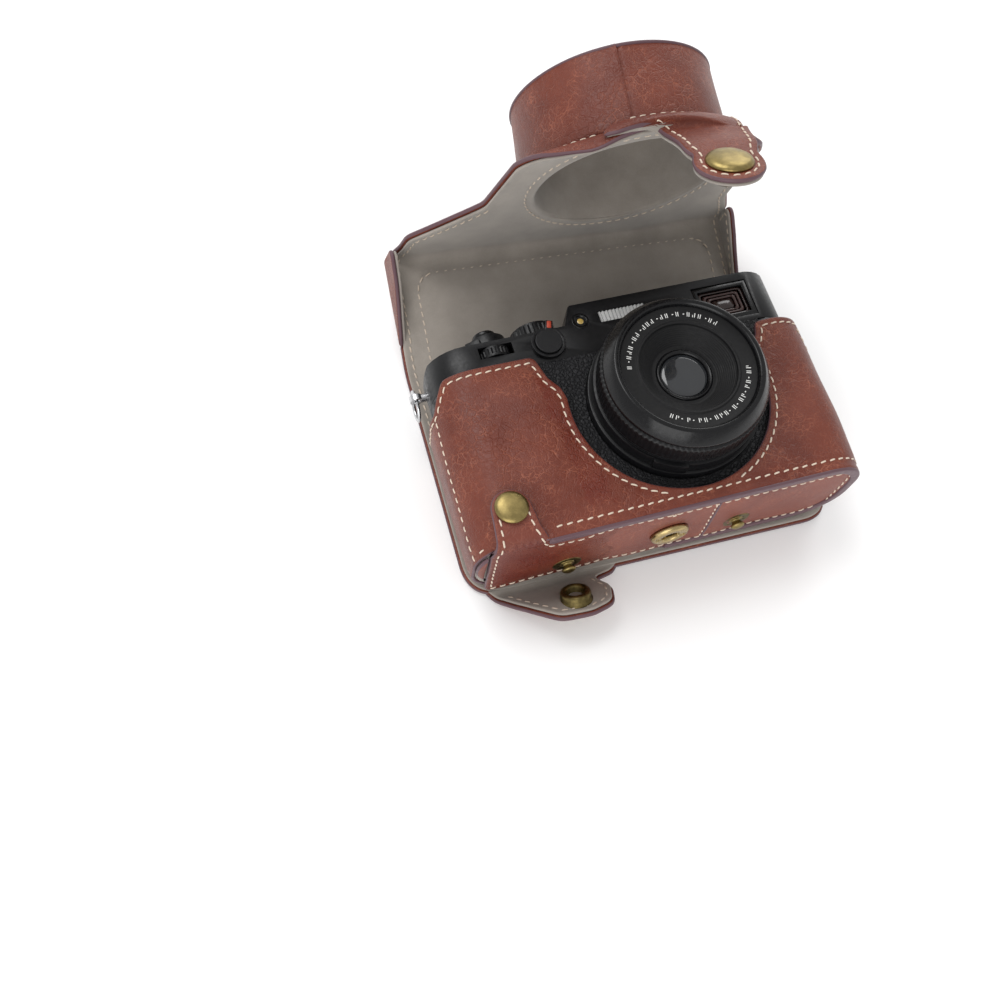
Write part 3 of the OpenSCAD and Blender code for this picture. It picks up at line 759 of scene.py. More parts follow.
def on_hood(u, s, h):
    """A point of the closed hood's wall, s along it from the fold and h towards its inside."""
    if s <= FLAT_END:
        y, z = FOLD_Y + 1.0 - h, FOLD_Z + s
    elif s < ARC_END:
        a, r = (s - FLAT_END) / BEND_R, BEND_R - h
        y, z = FOLD_Y + 1.0 - BEND_R + r * math.cos(a), FOLD_Z + FLAT_END + r * math.sin(a)
    else:
        y = FOLD_Y + 1.0 - BEND_R - (s - ARC_END)
        return HOOD @ (on_front(u, y, FOLD_Z + FLAT_END + BEND_R, -h) * MM)
    return HOOD @ (Vector((u, y, z)) * MM)


def on_cover(u, v, h):
    """A point of the cover, laid flat from its lower edge over the fold and up the hood."""
    w = smooth((v - 41.0) / 13.0)
    flat = Vector((u, v, 1.0 + h + abs(wave(u, v, 0.12, 0.05)))) * MM
    if w <= 0:
        return flat
    point = flat.lerp(on_hood(u, v - FOLD_Y, h), w)
    point.z = max(point.z, (0.35 + max(h, 0) * 0.9) * MM)
    if v > FRONT_V - 45:
        side = HOOD.to_3x3() @ Vector((0, 0, 1))
        curl = 1.8 * smooth((v - FRONT_V - 28) / 20) * smooth((20 - abs(u - CUP_X - 6)) / 40 + 0.5)
        point += side * (wave(u, v, 0.7, 0.035, 3.0) - curl * 0.5) * MM
    return point


def at_front(x, y):
    """Where a point of the closed front panel lies in the flattened cover."""
    return (x, FRONT_V - y)


COVER_BEND = ((0, 0.0410, 0.001), (0, 0.0540, 0.0047))


def cover_corners():
    """The cover's outline in the flat, with a radius for each corner."""
    ring = [(-71.5, 38.5, 6), (-69.5, 29.5, 8), (-62.0, 22.5, 8), (-54.0, 14.8, 10), (-45.3, 7.0, 6),
            (-42.6, -5, 8), (-39.2, -20, 12), (-31.5, -34, 14), (-19.5, -43.9, 14), (-6, -44.0, 16),
            (12, -41.4, 14), (27.5, -38.0, 14), (41.0, -27, 14), (46.5, -13, 14), (48.2, 0, 14),
            (48.4, 22, 12), (54.8, 38.0, 14)]
    corners = [(57, -41, 11.5), (56.8, 43, 4), (55.2, 52, 6), (55.0, 84, 8)]
    corners += [(*at_front(x, y), r) for x, y, r in reversed(ring)]
    corners += [(-76.0, 86, 9), (-75.8, 58, 3), (-76.4, 55, 3), (-77.3, -38.8, 13)]
    return corners


def case_point(s, y, out):
    """A point of the half case's wall, s round its plan from the front's middle, out from its face."""
    straight0, straight1 = CASE_X0 + CASE_R, CASE_X1 - CASE_R
    deep = CASE_Z1 - CASE_Z0 - 2 * CASE_R
    quarter = CASE_R * math.pi / 2
    sign, left = (1, s - straight1) if s > straight1 else (-1, straight0 - s)
    if straight0 <= s <= straight1:
        x, z, nx, nz = s, CASE_Z1, 0, 1
    else:
        cx = straight1 if sign > 0 else straight0
        if left < quarter:
            a = left / CASE_R
            nx, nz = sign * math.sin(a), math.cos(a)
            x, z = cx + CASE_R * nx, CASE_Z1 - CASE_R + CASE_R * nz
        elif left < quarter + deep:
            nx, nz = sign, 0
            x, z = cx + sign * CASE_R, CASE_Z1 - CASE_R - (left - quarter)
        elif left < 2 * quarter + deep:
            a = (left - quarter - deep) / CASE_R
            nx, nz = sign * math.cos(a), -math.sin(a)
            x, z = cx + CASE_R * nx, CASE_Z0 + CASE_R + CASE_R * nz
        else:
            nx, nz = 0, -1
            x, z = cx - sign * (left - 2 * quarter - deep), CASE_Z0
    return Vector((x + nx * out, y, z + nz * out))


# Creases beside the lens: where each starts, how it leans and how deep it is
CREASES = ((-44.5, 0.10, 0.30), (-41.6, 0.16, 0.34), (-39.2, 0.05, 0.38), (-34.2, 0.2, 0.26))


def on_case(s, y, h):
    """A point of the half case's leather wall: softly swollen, drawn in at its lower corners."""
    soft = 0.55 + wave(s, y, 0.55, 0.045)
    soft += 1.5 * bell((s + 47) / 13) * smooth((y + 34) / 22) * smooth((24 - y) / 12)
    soft += 0.7 * bell((s - 47) / 12) * smooth((y + 34) / 20)
    soft *= smooth((y - BASE_Y) / 7.0)
    pleat = 0.45 * bell((s + 36.5) / 1.5) * smooth((y + 30) / 20) * smooth((8 - y) / 12)
    back = smooth((CASE_Z0 + 3 - case_point(s, y, 0).z) / 3)
    folds = 0.0
    for k, (at, tilt, deep) in enumerate(CREASES):
        line = s - at + tilt * y + 1.3 * noise.noise(Vector((k * 3.1, y * 0.16, 2)))
        folds += deep * bell(line / 0.55) * smooth((y + 31) / 10) * smooth((17 - y) / 9)
    folds *= smooth(noise.noise(Vector((s * 0.2, y * 0.22, 8))) + 0.7)
    out = -0.75 + (soft - pleat - folds) * (1 - back) + h
    return case_point(s, y, out) * MM


def case_outline():
    """The wall in the flat: front cut-out around the lens, dips for the strap lugs at both ends."""
    right = [(146.0, -37.9, 0), (146.0, 16.5, 2), (92, 16.5, 4), (79, 6.2, 3), (61.0, 6.2, 2.5),
             (56.5, 12.5, 3), (54.2, 20.2, 2.6), (36.6, 20.2, 2.4), (35.2, 15.5, 2.5)]
    lens = [(p.x, p.y, 0) for p in arc(-1.5, 1.0, 33.5, 14, -189)]
    left = [(-35.6, 10.8, 3), (-38.6, 15.0, 2.5), (-40.6, 24.2, 3.2), (-72.0, 24.2, 3.2),
            (-79.5, 15.5, 3), (-97, 15.5, 3), (-104, 16.5, 3), (-168.0, 16.5, 2), (-168.0, -36.3, 0),
            (-56.6, -36.3, 0.3), (-55.2, -37.9, 0.3)]
    return rounded(right + lens + left)


class CASE_OT_cover(bpy.types.Operator):
    """Leather and lining of the cover, with its quilted back pad and stitching"""

    bl_idname = "case.cover"
    bl_label = "Cover and hood panels"

    def execute(self, context):
        sizes = context.scene.case_sizes
        leather_t, lining_t, pad = sizes.leather / MM, sizes.lining / MM, sizes.pad / MM
        hole = arc(*at_front(CUP_X, CUP_Y), 33.0, 0, 356)
        outer = loops_of(rounded(cover_corners()), [hole])
        bend = (ROOT, "hood", *COVER_BEND)
        skin = sheet("cover_leather", outer, lambda u, v, h: on_cover(u, v, -h), leather_t + 0.2,
                     spacing=3.0)
        settle(skin, replaces=("cover_back_panel", "hood_top_panel", "hood_front_panel"),
               bend=bend)
        inner_line = inset(outer[0], 0.9)
        opening = arc(*at_front(CUP_X, CUP_Y), 31.2, 0, 356)
        inner = loops_of(inner_line, [opening])
        side = leather_t / 2 + 0.75

        def pad_gap(u, v):
            du = max(abs(u + 10.0) - 48.5, 0)
            dv = max(abs(v - 22.5) - 50.0, 0)
            return 10.0 - math.hypot(du, dv)

        def quilting(u, v, d):
            edge = pad_gap(u, v)
            rise = pad * smooth(edge / 1.8) if edge > 0 else 0
            rise -= 0.55 * pad * bell((edge - 2.4) / 0.8)
            rise += 0.9 * smooth((edge - 3) / 10)
            rise -= 0.35 * bell((d - 2.6) / 0.6)
            rise += wave(u, v, 0.25, 0.05, 5.0)
            return rise

        lining = sheet("cover_lining", inner, lambda u, v, h: on_cover(u, v, side + h), lining_t,
                       ("suede", "suede", "pad"), 1.9, quilting,
                       region=lambda u, v: 2 if pad_gap(u, v) > 0.6 else 0)
        settle(lining, replaces=("cover_back_lining", "hood_lining"), bend=bend)

        def on_lining(u, v, h):
            return on_cover(u, v, side + lining_t / 2 + quilting(u, v, 9.0) + h)

        pad_line = rounded([(46.6, -35.6, 8), (46.6, 80.6, 8), (-66.6, 80.6, 8), (-66.6, -35.6, 8)])
        rows = [spaced(pad_line, 1.5)]
        rows[0].append(rows[0][0])
        edge_rows = runs_of(inner[0], 2.5, lambda u, v: v < FRONT_V - 8)
        ring_row = [arc(*at_front(CUP_X, CUP_Y), 34.4, 0, 360)]
        thread = stitches("cover_lining_stitches", rows + edge_rows + ring_row, on_lining, -0.15,
                          "pale_thread")
        settle(thread, bend=bend)
        foot = [Vector(at_front(CUP_X + 38.3 * math.sin(a), CUP_Y - 38.3 * math.cos(a)))
                for a in np.linspace(-1.15, -0.50, 24)]
        outside = stitches("cover_leather_stitches",
                           runs_of(outer[0], 2.6, lambda u, v: 62 < v < FRONT_V - 2) + [foot],
                           lambda u, v, h: on_cover(u, v, -leather_t / 2 - 0.1 - h))
        settle(outside, bend=bend)
        self.gussets(sizes)
        return {"FINISHED"}

    def gussets(self, sizes):
        """The hood's two side strips, standing up from the ends of its top panel."""
        for name, x, way in (("hood_gusset_left", -75.6, -1), ("hood_gusset_right", 54.8, 1)):

            def on_gusset(u, v, h, x=x, way=way):
                lean = 1.2 * smooth(v / 12.0)
                z = u + FOLD_Z
                return HOOD @ (Vector((x + way * (h - lean + 0.4), FOLD_Y + 0.6 - v, z)) * MM)

            loops = loops_of(rounded([(41.5, 0.2, 1.5), (41.5, 15.5, 6), (30, 12.0, 8), (12, 3.5, 6),
                                      (7.5, 0.2, 0.5)]))
            skin = sheet(name, loops, on_gusset, 1.5, spacing=2.5)
            settle(skin, "hood", ("hood_gussets",))
            cloth = sheet(name + "_lining", loops_of(inset(loops[0], 0.5)),
                          lambda u, v, h: on_gusset(u, v, -1.3 - h), 0.9, ("suede", "suede"), 2.5)
            settle(cloth, "hood")
            thread = stitches(name + "_stitches", runs_of(loops[0], 2.4, lambda u, v: v > 3.0),
                              lambda u, v, h: on_gusset(u, v, -1.75 - h), 0.0, "pale_thread")
            settle(thread, "hood")


class CASE_OT_lens_cup(bpy.types.Operator):
    """Round leather cup on the hood, with its end disc, seam and lining"""

    bl_idname = "case.lens_cup"
    bl_label = "Lens cup"

    def execute(self, context):
        place = HOOD @ Matrix.Translation(Vector((CUP_X, CUP_Y, 0)) * MM)
        seam_at = -math.pi / 2 - 0.19

        def tube(i, a, r, z):
            seam = 34 * math.atan2(math.sin(a - seam_at), math.cos(a - seam_at))
            groove = 0.7 * bell(seam / 0.32) if r > 33 else 0
            swell = 0.4 * bell(seam / 2.5) if r > 33 and seam < -0.2 else 0
            soft = noise.noise(Vector((math.cos(a) * 1.5, math.sin(a) * 1.5, z * 0.05))) * 0.5
            return r - groove + swell + soft, z

        rows = [(35.3 - 1.5 * k / 12, 46.0 + 27.2 * k / 12) for k in range(13)]
        wall = [(33.2, 46.0)] + rows + [(33.3, 73.9), (32.4, 73.6), (32.4, 60.0)]
        cup = lathe("lens_cup_leather", wall, ["leather", "edge"], place, 420, wave=tube)
        settle(cup, "hood", ("lens_cup_wall",))
        end = [(0, 74.9), (14, 74.8), (26, 74.5), (31.5, 74.2), (33.4, 73.9), (34.0, 73.5),
               (34.05, 73.0), (33.6, 72.6), (32, 72.5), (0, 72.5)]
        disc = lathe("lens_cup_disc", end, ["leather", "edge"], place, 120,
                     kinds=[0, 0, 0, 0, 1, 1, 1, 1, 0, 0])
        settle(disc, "hood", ("lens_cup_end",))
        inside_wall = [(33.0, 45.0), (32.6, 44.0), (31.4, 43.4), (30.9, 44.6), (31.0, 50), (31.2, 60),
                       (31.2, 68), (30.4, 71.0), (28.0, 71.8), (14, 72.0), (0, 72.0), (0, 72.45),
                       (32.2, 72.45), (32.35, 60), (33.2, 46.5)]

        def cloth(i, a, r, z):
            soft = noise.noise(Vector((math.cos(a) * 1.3, math.sin(a) * 1.3, z * 0.04 + 7)))
            return r + soft * 0.35, z

        lining = lathe("lens_cup_lining_cloth", inside_wall, ["suede"], place, 140, wave=cloth)
        settle(lining, "hood", ("lens_cup_lining",))
        return {"FINISHED"}


RING_Y, TAB_Y = -38.6, -41.2  # where the tab starts on the ring, and its face when snapped
TAB_START, TAB_BEND, TAB_TOP = 5.0, 14.0, 37.5
TAB_SNAP_W = TAB_BEND + TAB_TOP - STUD_Z
RING_SIDE = HOOD.to_3x3() @ Vector((0, 0, 1))


def tab_frame(u, w, h):
    """A point of the hood's tab: sewn to the ring's leather side, over its edge, then out to the snap.
    u across, w along from the ring (negative on the ring), h out of the leather side."""
    x, top, lift = STUD_X + u, FOLD_Z + FLAT_END + BEND_R, 1.65
    rolled = HOOD @ (on_front(x, RING_Y - w, top, lift + h) * MM)
    if w <= TAB_START:
        return rolled
    low = TAB @ (Vector((x, TAB_Y - h, TAB_TOP - (w - TAB_BEND))) * MM)
    if w >= TAB_BEND:
        sag = 1.3 * smooth((w - TAB_BEND) / 12) * (1 - smooth((w - TAB_BEND - 12) / 12))
        return low + TAB.to_3x3() @ Vector((0, -sag, 0)) * MM
    t = (w - TAB_START) / (TAB_BEND - TAB_START)
    reach = 1.05 * (TAB_BEND - TAB_START + 0.8 * h) * MM
    a = HOOD @ (on_front(x, RING_Y - TAB_START, top, lift + h) * MM)
    onward = HOOD @ (on_front(x, RING_Y - 0.5 - TAB_START, top, lift + h) * MM)
    da = (onward - a).normalized() * reach
    b = TAB @ (Vector((x, TAB_Y - h, TAB_TOP)) * MM)
    db = TAB.to_3x3() @ Vector((0, 0, -1)) * reach
    t2, t3 = t * t, t * t * t
    return (2 * t3 - 3 * t2 + 1) * a + (t3 - 2 * t2 + t) * da + (3 * t2 - 2 * t3) * b + (t3 - t2) * db


class CASE_OT_hood_tab(bpy.types.Operator):
    """Tab that snaps the hood under the base, folded over the ring"""

    bl_idname = "case.hood_tab"
    bl_label = "Hood tab"

    def execute(self, context):
        end = arc(0, TAB_SNAP_W, 10.3, -25, 205)
        root = [(-33, 9.3, 1), (-28, 4.8, 8), (-21, 1.4, 10), (-10, 0.2, 12), (0, 0.1, 12),
                (8, 0.0, 10), (13.4, 0.2, 2)]
        outline = [(u, self.on_ring(u, e), r) for u, e, r in root]
        outline += [(12.6, 5.5, 6), (11.5, 17, 8), (10.7, 27, 8)] + [(p.x, p.y, 0) for p in end]
        outline += [(-11.2, 29, 10), (-12.8, 19, 12), (-15.2, 11.5, 12),
                    (-20.5, self.on_ring(-20.5, 9.7), 12), (-28, self.on_ring(-28, 9.6), 8)]
        loops = loops_of(rounded(outline))
        blend = ("hood", "hood_tab", TAB_PIVOT + RING_SIDE * 0.003, TAB_PIVOT - RING_SIDE * 0.004)
        skin = sheet("hood_tab_leather", loops, tab_frame, 1.6, spacing=1.8,
                     painted=lambda u, v: v > self.on_ring(min(u, 13), 4.0))
        settle(skin, replaces=("hood_tab",), bend=blend)
        cloth = sheet("hood_tab_lining", loops_of(inset(loops[0], 0.4)),
                      lambda u, v, h: tab_frame(u, v, -1.35 - h),
                      1.0, ("suede", "suede"), 2.2)
        settle(cloth, bend=blend)
        thread = stitches("hood_tab_stitches",
                          runs_of(loops[0], 2.3, lambda u, v: u > -17 or v < self.on_ring(u, 5.0)),
                          lambda u, v, h: tab_frame(u, v, 0.75 + h))
        settle(thread, bend=blend)
        snap = TAB @ Matrix.Translation(Vector((STUD_X, 0, STUD_Z)) * MM) @ DOWN
        dome = [(0, 44.1), (3.2, 44.0), (5.4, 43.7), (6.5, 43.1), (6.9, 42.5), (6.7, 42.0), (5.6, 41.9),
                (0, 41.9)]
        cap = lathe("hood_tab_cap", dome, ["brass"], snap, 64)
        settle(cap, "hood_tab", ("hood_tab_snap",))
        upturned = Matrix.Diagonal((0.9, 0.9, -0.7, 1)) @ Matrix.Translation((0, 0, -0.0952))
        socket = lathe("hood_tab_socket", socket_profile(39.2), ["old_brass"], snap @ upturned, 48)
        settle(socket, "hood_tab")
        return {"FINISHED"}

    @staticmethod
    def on_ring(u, out):
        """Where a point lies on the ring, out from the cup's foot."""
        r = 35.8 + out
        return math.sqrt(r * r - (u + STUD_X - CUP_X) ** 2) - CUP_Y + RING_Y


def socket_profile(z):
    """A snap socket standing to +Z from z, with a rolled rim and a recess."""
    return [(0, z + 1.0), (2.5, z + 1.0), (2.9, z + 1.3), (2.9, z + 3.2), (3.3, z + 3.8),
            (4.0, z + 4.0), (4.9, z + 3.6), (5.2, z + 2.8), (5.1, z + 1.6), (5.6, z + 0.8),
            (5.9, z + 0.2), (5.4, z), (0, z)]


def stud_profile(z):
    """A snap stud with a mushroom head, standing to +Z from z."""
    return [(0, z + 3.2), (1.2, z + 3.15), (2.0, z + 2.8), (2.45, z + 2.3), (2.2, z + 1.8),
            (1.6, z + 1.45), (1.5, z + 0.6), (1.9, z + 0.3), (2.6, z + 0.2), (2.6, z - 0.3),
            (0, z - 0.3)]


def star_washer(name, place, r=4.7, teeth=8):
    """A recessed dark washer with a toothed opening."""
    def star(i, a, radius, z):
        if 0 < i < 4:
            return radius * (1 + 0.13 * math.cos(teeth * a)), z
        return radius, z
    profile = [(1.7, 0.0), (2.6, 0.12), (3.4, 0.30), (3.9, 0.34), (r, 0.22), (r + 0.3, 0.02), (r, -0.3),
               (1.7, -0.3)]
    return lathe(name, profile, ["old_brass"], place, 96, wave=star)


class CASE_OT_half_case(bpy.types.Operator):
    """Leather half case around the camera, its base, stitching and battery flap"""

    bl_idname = "case.half_case"
    bl_label = "Half case"

    def execute(self, context):
        sizes = context.scene.case_sizes
        thick = sizes.leather / MM
        loops = loops_of(case_outline())

        def creased(s, y):
            near = abs(s + 38 + 0.10 * y + 2.2 * noise.noise(Vector((0, y * 0.2, 4))))
            return 2 if near < 4.2 + wave(s, y, 3.0, 0.25) and -31 < y < 16 else 0

        wall = sheet("case_wall", loops, on_case, thick, ("leather", "edge", "creased_leather"), 2.3,
                     lambda u, v, d: -0.22 * bell((d - 2.3) / 0.5), region=creased)
        settle(wall, ROOT, ("case_shell",))
        cloth_line = inset(loops[0], 0.5)
        cloth = sheet("case_wall_lining", loops_of(cloth_line),
                      lambda u, v, h: on_case(u, v, -thick / 2 - 0.35 + h),
                      0.6, ("suede", "suede"), 3.2)
        settle(cloth, ROOT, ("case_lining",))
        top = runs_of(loops[0], 2.3, lambda u, v: v > -33 and abs(u) < 140)
        foot = [[Vector((s, BASE_Y + 3.4)) for s in np.arange(-52, 62, 1.5)],
                [Vector((s, BASE_Y + 3.4)) for s in np.arange(-78, -74, 1.0)]]
        thread = stitches("case_wall_stitches", top + foot,
                          lambda u, v, h: on_case(u, v, thick / 2 - 0.12 + h))
        settle(thread, ROOT)
        down_end = zip(np.linspace(-79.0, -81.5, 20), np.linspace(13, -36, 20))
        end_line = [Vector(point) for point in down_end]
        seam = stitches("case_end_stitches", [end_line],
                        lambda u, v, h: on_case(u, v, thick / 2 - 0.12 + h))
        settle(seam, ROOT)
        self.base(thick)
        self.fittings()
        return {"FINISHED"}

    def base(self, thick):
        """The base leather, with the battery flap and its tab in one piece."""
        bend_r = 3.0
        front = CASE_Z1 + 0.9
        v_flat = front - bend_r
        v_arc = v_flat + bend_r * math.pi / 2
        y0 = BASE_Y + 0.55

        def on_base(u, v, h):
            """v runs forward along the base, then up the front; h is out of the leather."""
            if v <= v_flat:
                y, z = y0 - h, v
            elif v < v_arc:
                a = (v - v_flat) / bend_r
                y, z = y0 + bend_r - (bend_r + h) * math.cos(a), v_flat + (bend_r + h) * math.sin(a)
            else:
                y, z = y0 + bend_r + (v - v_arc), front + h + 0.9 * smooth((v - v_arc) / 6)
            dent = 0.3 * bell((u + 30) / 5) + wave(u, v, 0.3, 0.06, 9.0)
            return Vector((u, y + dent * (1 if v <= v_flat else 0), z)) * MM

        snap_v = v_arc + (SNAP_Y - (y0 + bend_r))
        tab_end = arc(SNAP_X, snap_v, 6.4, 0, 180)
        left, right = CASE_X0 + 0.7, CASE_X1 - 0.7
        back, front_z = 5.2, CASE_Z1 - 3.3
        corners = [(left + 4.2, back, 3), (right - 14, back, 12), (right - 2.0, back + 3, 12),
                   (right - 2.0, 22, 6), (right - 2.0, front_z - 1, 12), (right - 15, front_z, 12),
                   (-38.5, front_z, 3), (-42.5, front_z - 1.8, 2.5), (-52.5, front_z - 1.0, 2),
                   (-56.0, v_arc + 1.0, 3)]
        corners += [(p.x, p.y, 0) for p in tab_end] + [(-70.6, v_arc - 1, 2.5), (-72.6, CASE_Z1 - 5, 2)]
        hole = arc(SCREW_X, SCREW_Z, 6.0, 0, 350)
        loops = loops_of(rounded(corners), [hole])

        def worn(u, v):
            return 2 if u < -31 - 2 * math.sin(v * 0.3) and v < CASE_Z1 - 1 else 0

        bend = (ROOT, "battery_flap", (-0.0185, -0.0377, 0.022), (-0.0295, -0.0377, 0.022))
        skin = sheet("base_leather", loops, on_base, thick + 0.1,
                     ("smooth_leather", "edge", "creased_leather"), 2.2,
                     lambda u, v, d: -0.2 * bell((d - 2.2) / 0.5), region=worn)
        settle(skin, replaces=("battery_flap",), bend=bend)
        rows = runs_of(loops[0], 2.1)
        rows.append([Vector((2.4, 36.3)), Vector((3.2, 28)), Vector((3.8, 18)), Vector((4.3, 7.5))])
        rows += [[Vector((-13.2, 36.0)), Vector((-11.0, 34.6))],
                 [Vector((-13.0, 34.4)), Vector((-11.4, 36.2))],
                 [Vector((12.2, 35.6)), Vector((14.2, 34.4))]]
        thread = stitches("base_stitches", rows, lambda u, v, h: on_base(u, v, thick / 2 - 0.12 + h))
        settle(thread, bend=bend)
        seam = [Vector((3.3, 37.6)), Vector((4.1, 28)), Vector((4.7, 18)), Vector((5.2, 6.4))]
        ridge = sheet("base_seam_edge", loops_of(self.strip(seam, 0.45)),
                      lambda u, v, h: on_base(u, v, thick / 2 + 0.05 + h), 0.5,
                      ("edge", "edge"), 1.5, rim=(0.15,))
        settle(ridge, bend=bend)
        self.foot(thick, hole)

    def foot(self, thick, hole):
        """The lip round the left end of the foot, the sole's lining and the foot's edge."""
        corner, r = Vector((CASE_X0 + CASE_R, CASE_Z1 - CASE_R)), CASE_R - 0.8
        outline = [corner + Vector((-r * math.sin(a), r * math.cos(a)))
                   for a in np.linspace(0.42, math.pi - 0.55, 40)]
        inner = [Vector((-72.9, outline[-1].y)), Vector((-73.3, 22)), Vector((-72.9, outline[0].y))]
        end = sheet("case_end_lip", loops_of(outline + inner),
                    lambda u, v, h: Vector((u, BASE_Y + 0.5 - h, v)) * MM,
                    thick + 0.3, ("smooth_leather", "edge"), 2.0)
        settle(end, ROOT)
        x0, x1, z0, z1 = CASE_X0 + 2, CASE_X1 - 2, 6, CASE_Z1 - 2
        sole = rounded([(x0, z0, 12), (x1, z0, 12), (x1, z1, 12), (x0, z1, 12)])
        floor = sheet("case_floor", loops_of(sole, [hole]),
                      lambda u, v, h: Vector((u, BASE_Y + 2.4 - h, v)) * MM, 1.4, ("suede", "suede"),
                      4.0)
        settle(floor, ROOT, ("case_sole",))
        round_plan = np.arange(-54.5, 146, 1.5)
        rim = [case_point(s, 0, 0) for s in round_plan]
        rim += [case_point(s, 0, -3.4) for s in round_plan[::-1]]
        band = [Vector((p.x, p.z)) for p in rim]
        edge_band = sheet("case_foot_edge", loops_of(band),
                          lambda u, v, h: Vector((u, BASE_Y - 0.15 - h, v)) * MM,
                          1.3, ("edge", "edge"), 1.5, rim=(0.12, 0.35, 0.75))
        settle(edge_band, ROOT)

    @staticmethod
    def strip(line, half):
        sides = []
        for way in (1, -1):
            side = []
            for i, p in enumerate(line):
                t = (line[min(i + 1, len(line) - 1)] - line[max(i - 1, 0)]).normalized()
                side.append(p + Vector((-t.y, t.x)) * half * way)
            sides.append(side)
        return sides[0] + sides[1][::-1]

    def fittings(self):
        """Studs, caps, washers and the case screw."""
        for name, x, z, body, node in (
                ("right_stud", STUD_X, STUD_Z, ROOT, "case_studs"),
                ("left_stud", FLAP_X, FLAP_Z, "battery_flap", "battery_flap_stud")):
            place = Matrix.Translation(Vector((x, BASE_Y - 0.15, z)) * MM) @ DOWN
            stud = lathe(name, stud_profile(0), ["brass"], place, 48)
            settle(stud, body, (node,))
            washer = star_washer(name + "_washer", place)
            settle(washer, body)
        front = Matrix.Translation(Vector((SNAP_X, SNAP_Y, 0)) * MM)
        stud = lathe("front_stud", [(r * 0.8, z * 0.8 + CASE_Z1 + 0.1) for r, z in stud_profile(0)],
                     ["brass"], front, 40)
        settle(stud, ROOT)
        top = CASE_Z1 + 3.3
        shell = [(0, 1.1), (2.6, 1.05), (4.2, 0.75), (5.1, 0.2), (5.3, -0.2), (5.0, -0.5), (3.2, -0.5),
                 (2.9, 0.2), (0, 0.3)]
        cap = lathe("battery_flap_cap_shell", [(r, top + z) for r, z in shell], ["brass"], front, 64)
        settle(cap, "battery_flap", ("battery_flap_cap",))
        place = Matrix.Translation(Vector((SCREW_X, BASE_Y, SCREW_Z)) * MM) @ DOWN

        def coin_slot(i, a, r, z):
            if z > 0.7 and abs(r * math.sin(a)) < 1.0 and 3.2 < r < 5.0:
                return r, 0.9
            return r, z

        profile = [(3.05, -2.5), (3.05, 1.6), (3.3, 1.95), (3.7, 2.1), (4.6, 2.1), (5.2, 2.15),
                   (5.9, 1.9), (6.4, 1.4), (6.6, 0.7), (6.4, 0.1), (5.0, 0.0), (4.92, -1.5),
                   (3.5, -2.5)]
        head = lathe("case_screw_head", profile, ["bright_brass"], place, 144, wave=coin_slot)
        settle(head, "case_screw", ("case_screw",))


def on_flap(u, v, h):
    """A point of the cover's bottom flap; v runs out from the cover's edge, h to its lining side."""
    w = smooth((v - 36.5) / 7.0)
    curl = 0.9 * smooth((v - 49) / 10)
    low = Vector((u, -v, 1.0 + h)) * MM
    raised = FLAP @ (Vector((u, -v, 1.0 + h - curl + wave(u, v, 0.5, 0.09, 2.0))) * MM)
    return low.lerp(raised, w)


class CASE_OT_bottom_flap(bpy.types.Operator):
    """Bottom flap of the cover with its snap socket"""

    bl_idname = "case.bottom_flap"
    bl_label = "Bottom flap"

    def execute(self, context):
        outline = rounded([(-22, 36.6, 1), (-27, 41, 5), (-33, 42.5, 4), (-33.5, 44, 2), (-30.5, 50, 5),
                           (-33, 58.5, 6), (-41, 60.8, 6), (-52, 59.8, 7), (-60, 52, 7), (-68, 42, 8),
                           (-72, 36.6, 1)])
        loops = loops_of(outline)
        bend = (ROOT, "cover_flap", (-0.0445, -0.0375, 0.001), (-0.0445, -0.0435, 0.002))
        skin = sheet("bottom_flap_leather", loops, lambda u, v, h: on_flap(u, v, -h), 1.7, spacing=1.8)
        settle(skin, replaces=("cover_flap",), bend=bend)
        cloth = sheet("bottom_flap_lining", loops_of(inset(loops[0], 0.8)),
                      lambda u, v, h: on_flap(u, v, 1.45 + h), 1.1, ("suede", "suede"), 1.8)
        settle(cloth, replaces=("cover_flap_lining",), bend=bend)
        thread = stitches("bottom_flap_stitches", runs_of(loops[0], 2.6, lambda u, v: v > 41),
                          lambda u, v, h: on_flap(u, v, 1.9 + h), 0.0, "pale_thread")
        settle(thread, bend=bend)
        place = FLAP @ Matrix.Translation(Vector((FLAP_X, FLAP_SNAP_Y, 0)) * MM)
        socket = lathe("bottom_flap_socket", socket_profile(1.6), ["old_brass"], place, 64)
        settle(socket, "cover_flap", ("cover_flap_snap",))
        dome = [(0, -0.9), (3, -0.8), (5, -0.4), (5.7, 0.1), (5.2, 0.5), (0, 0.5)]
        cap = lathe("bottom_flap_cap", dome, ["brass"], place, 48)
        settle(cap, "cover_flap")
        return {"FINISHED"}


# ---- The camera ----


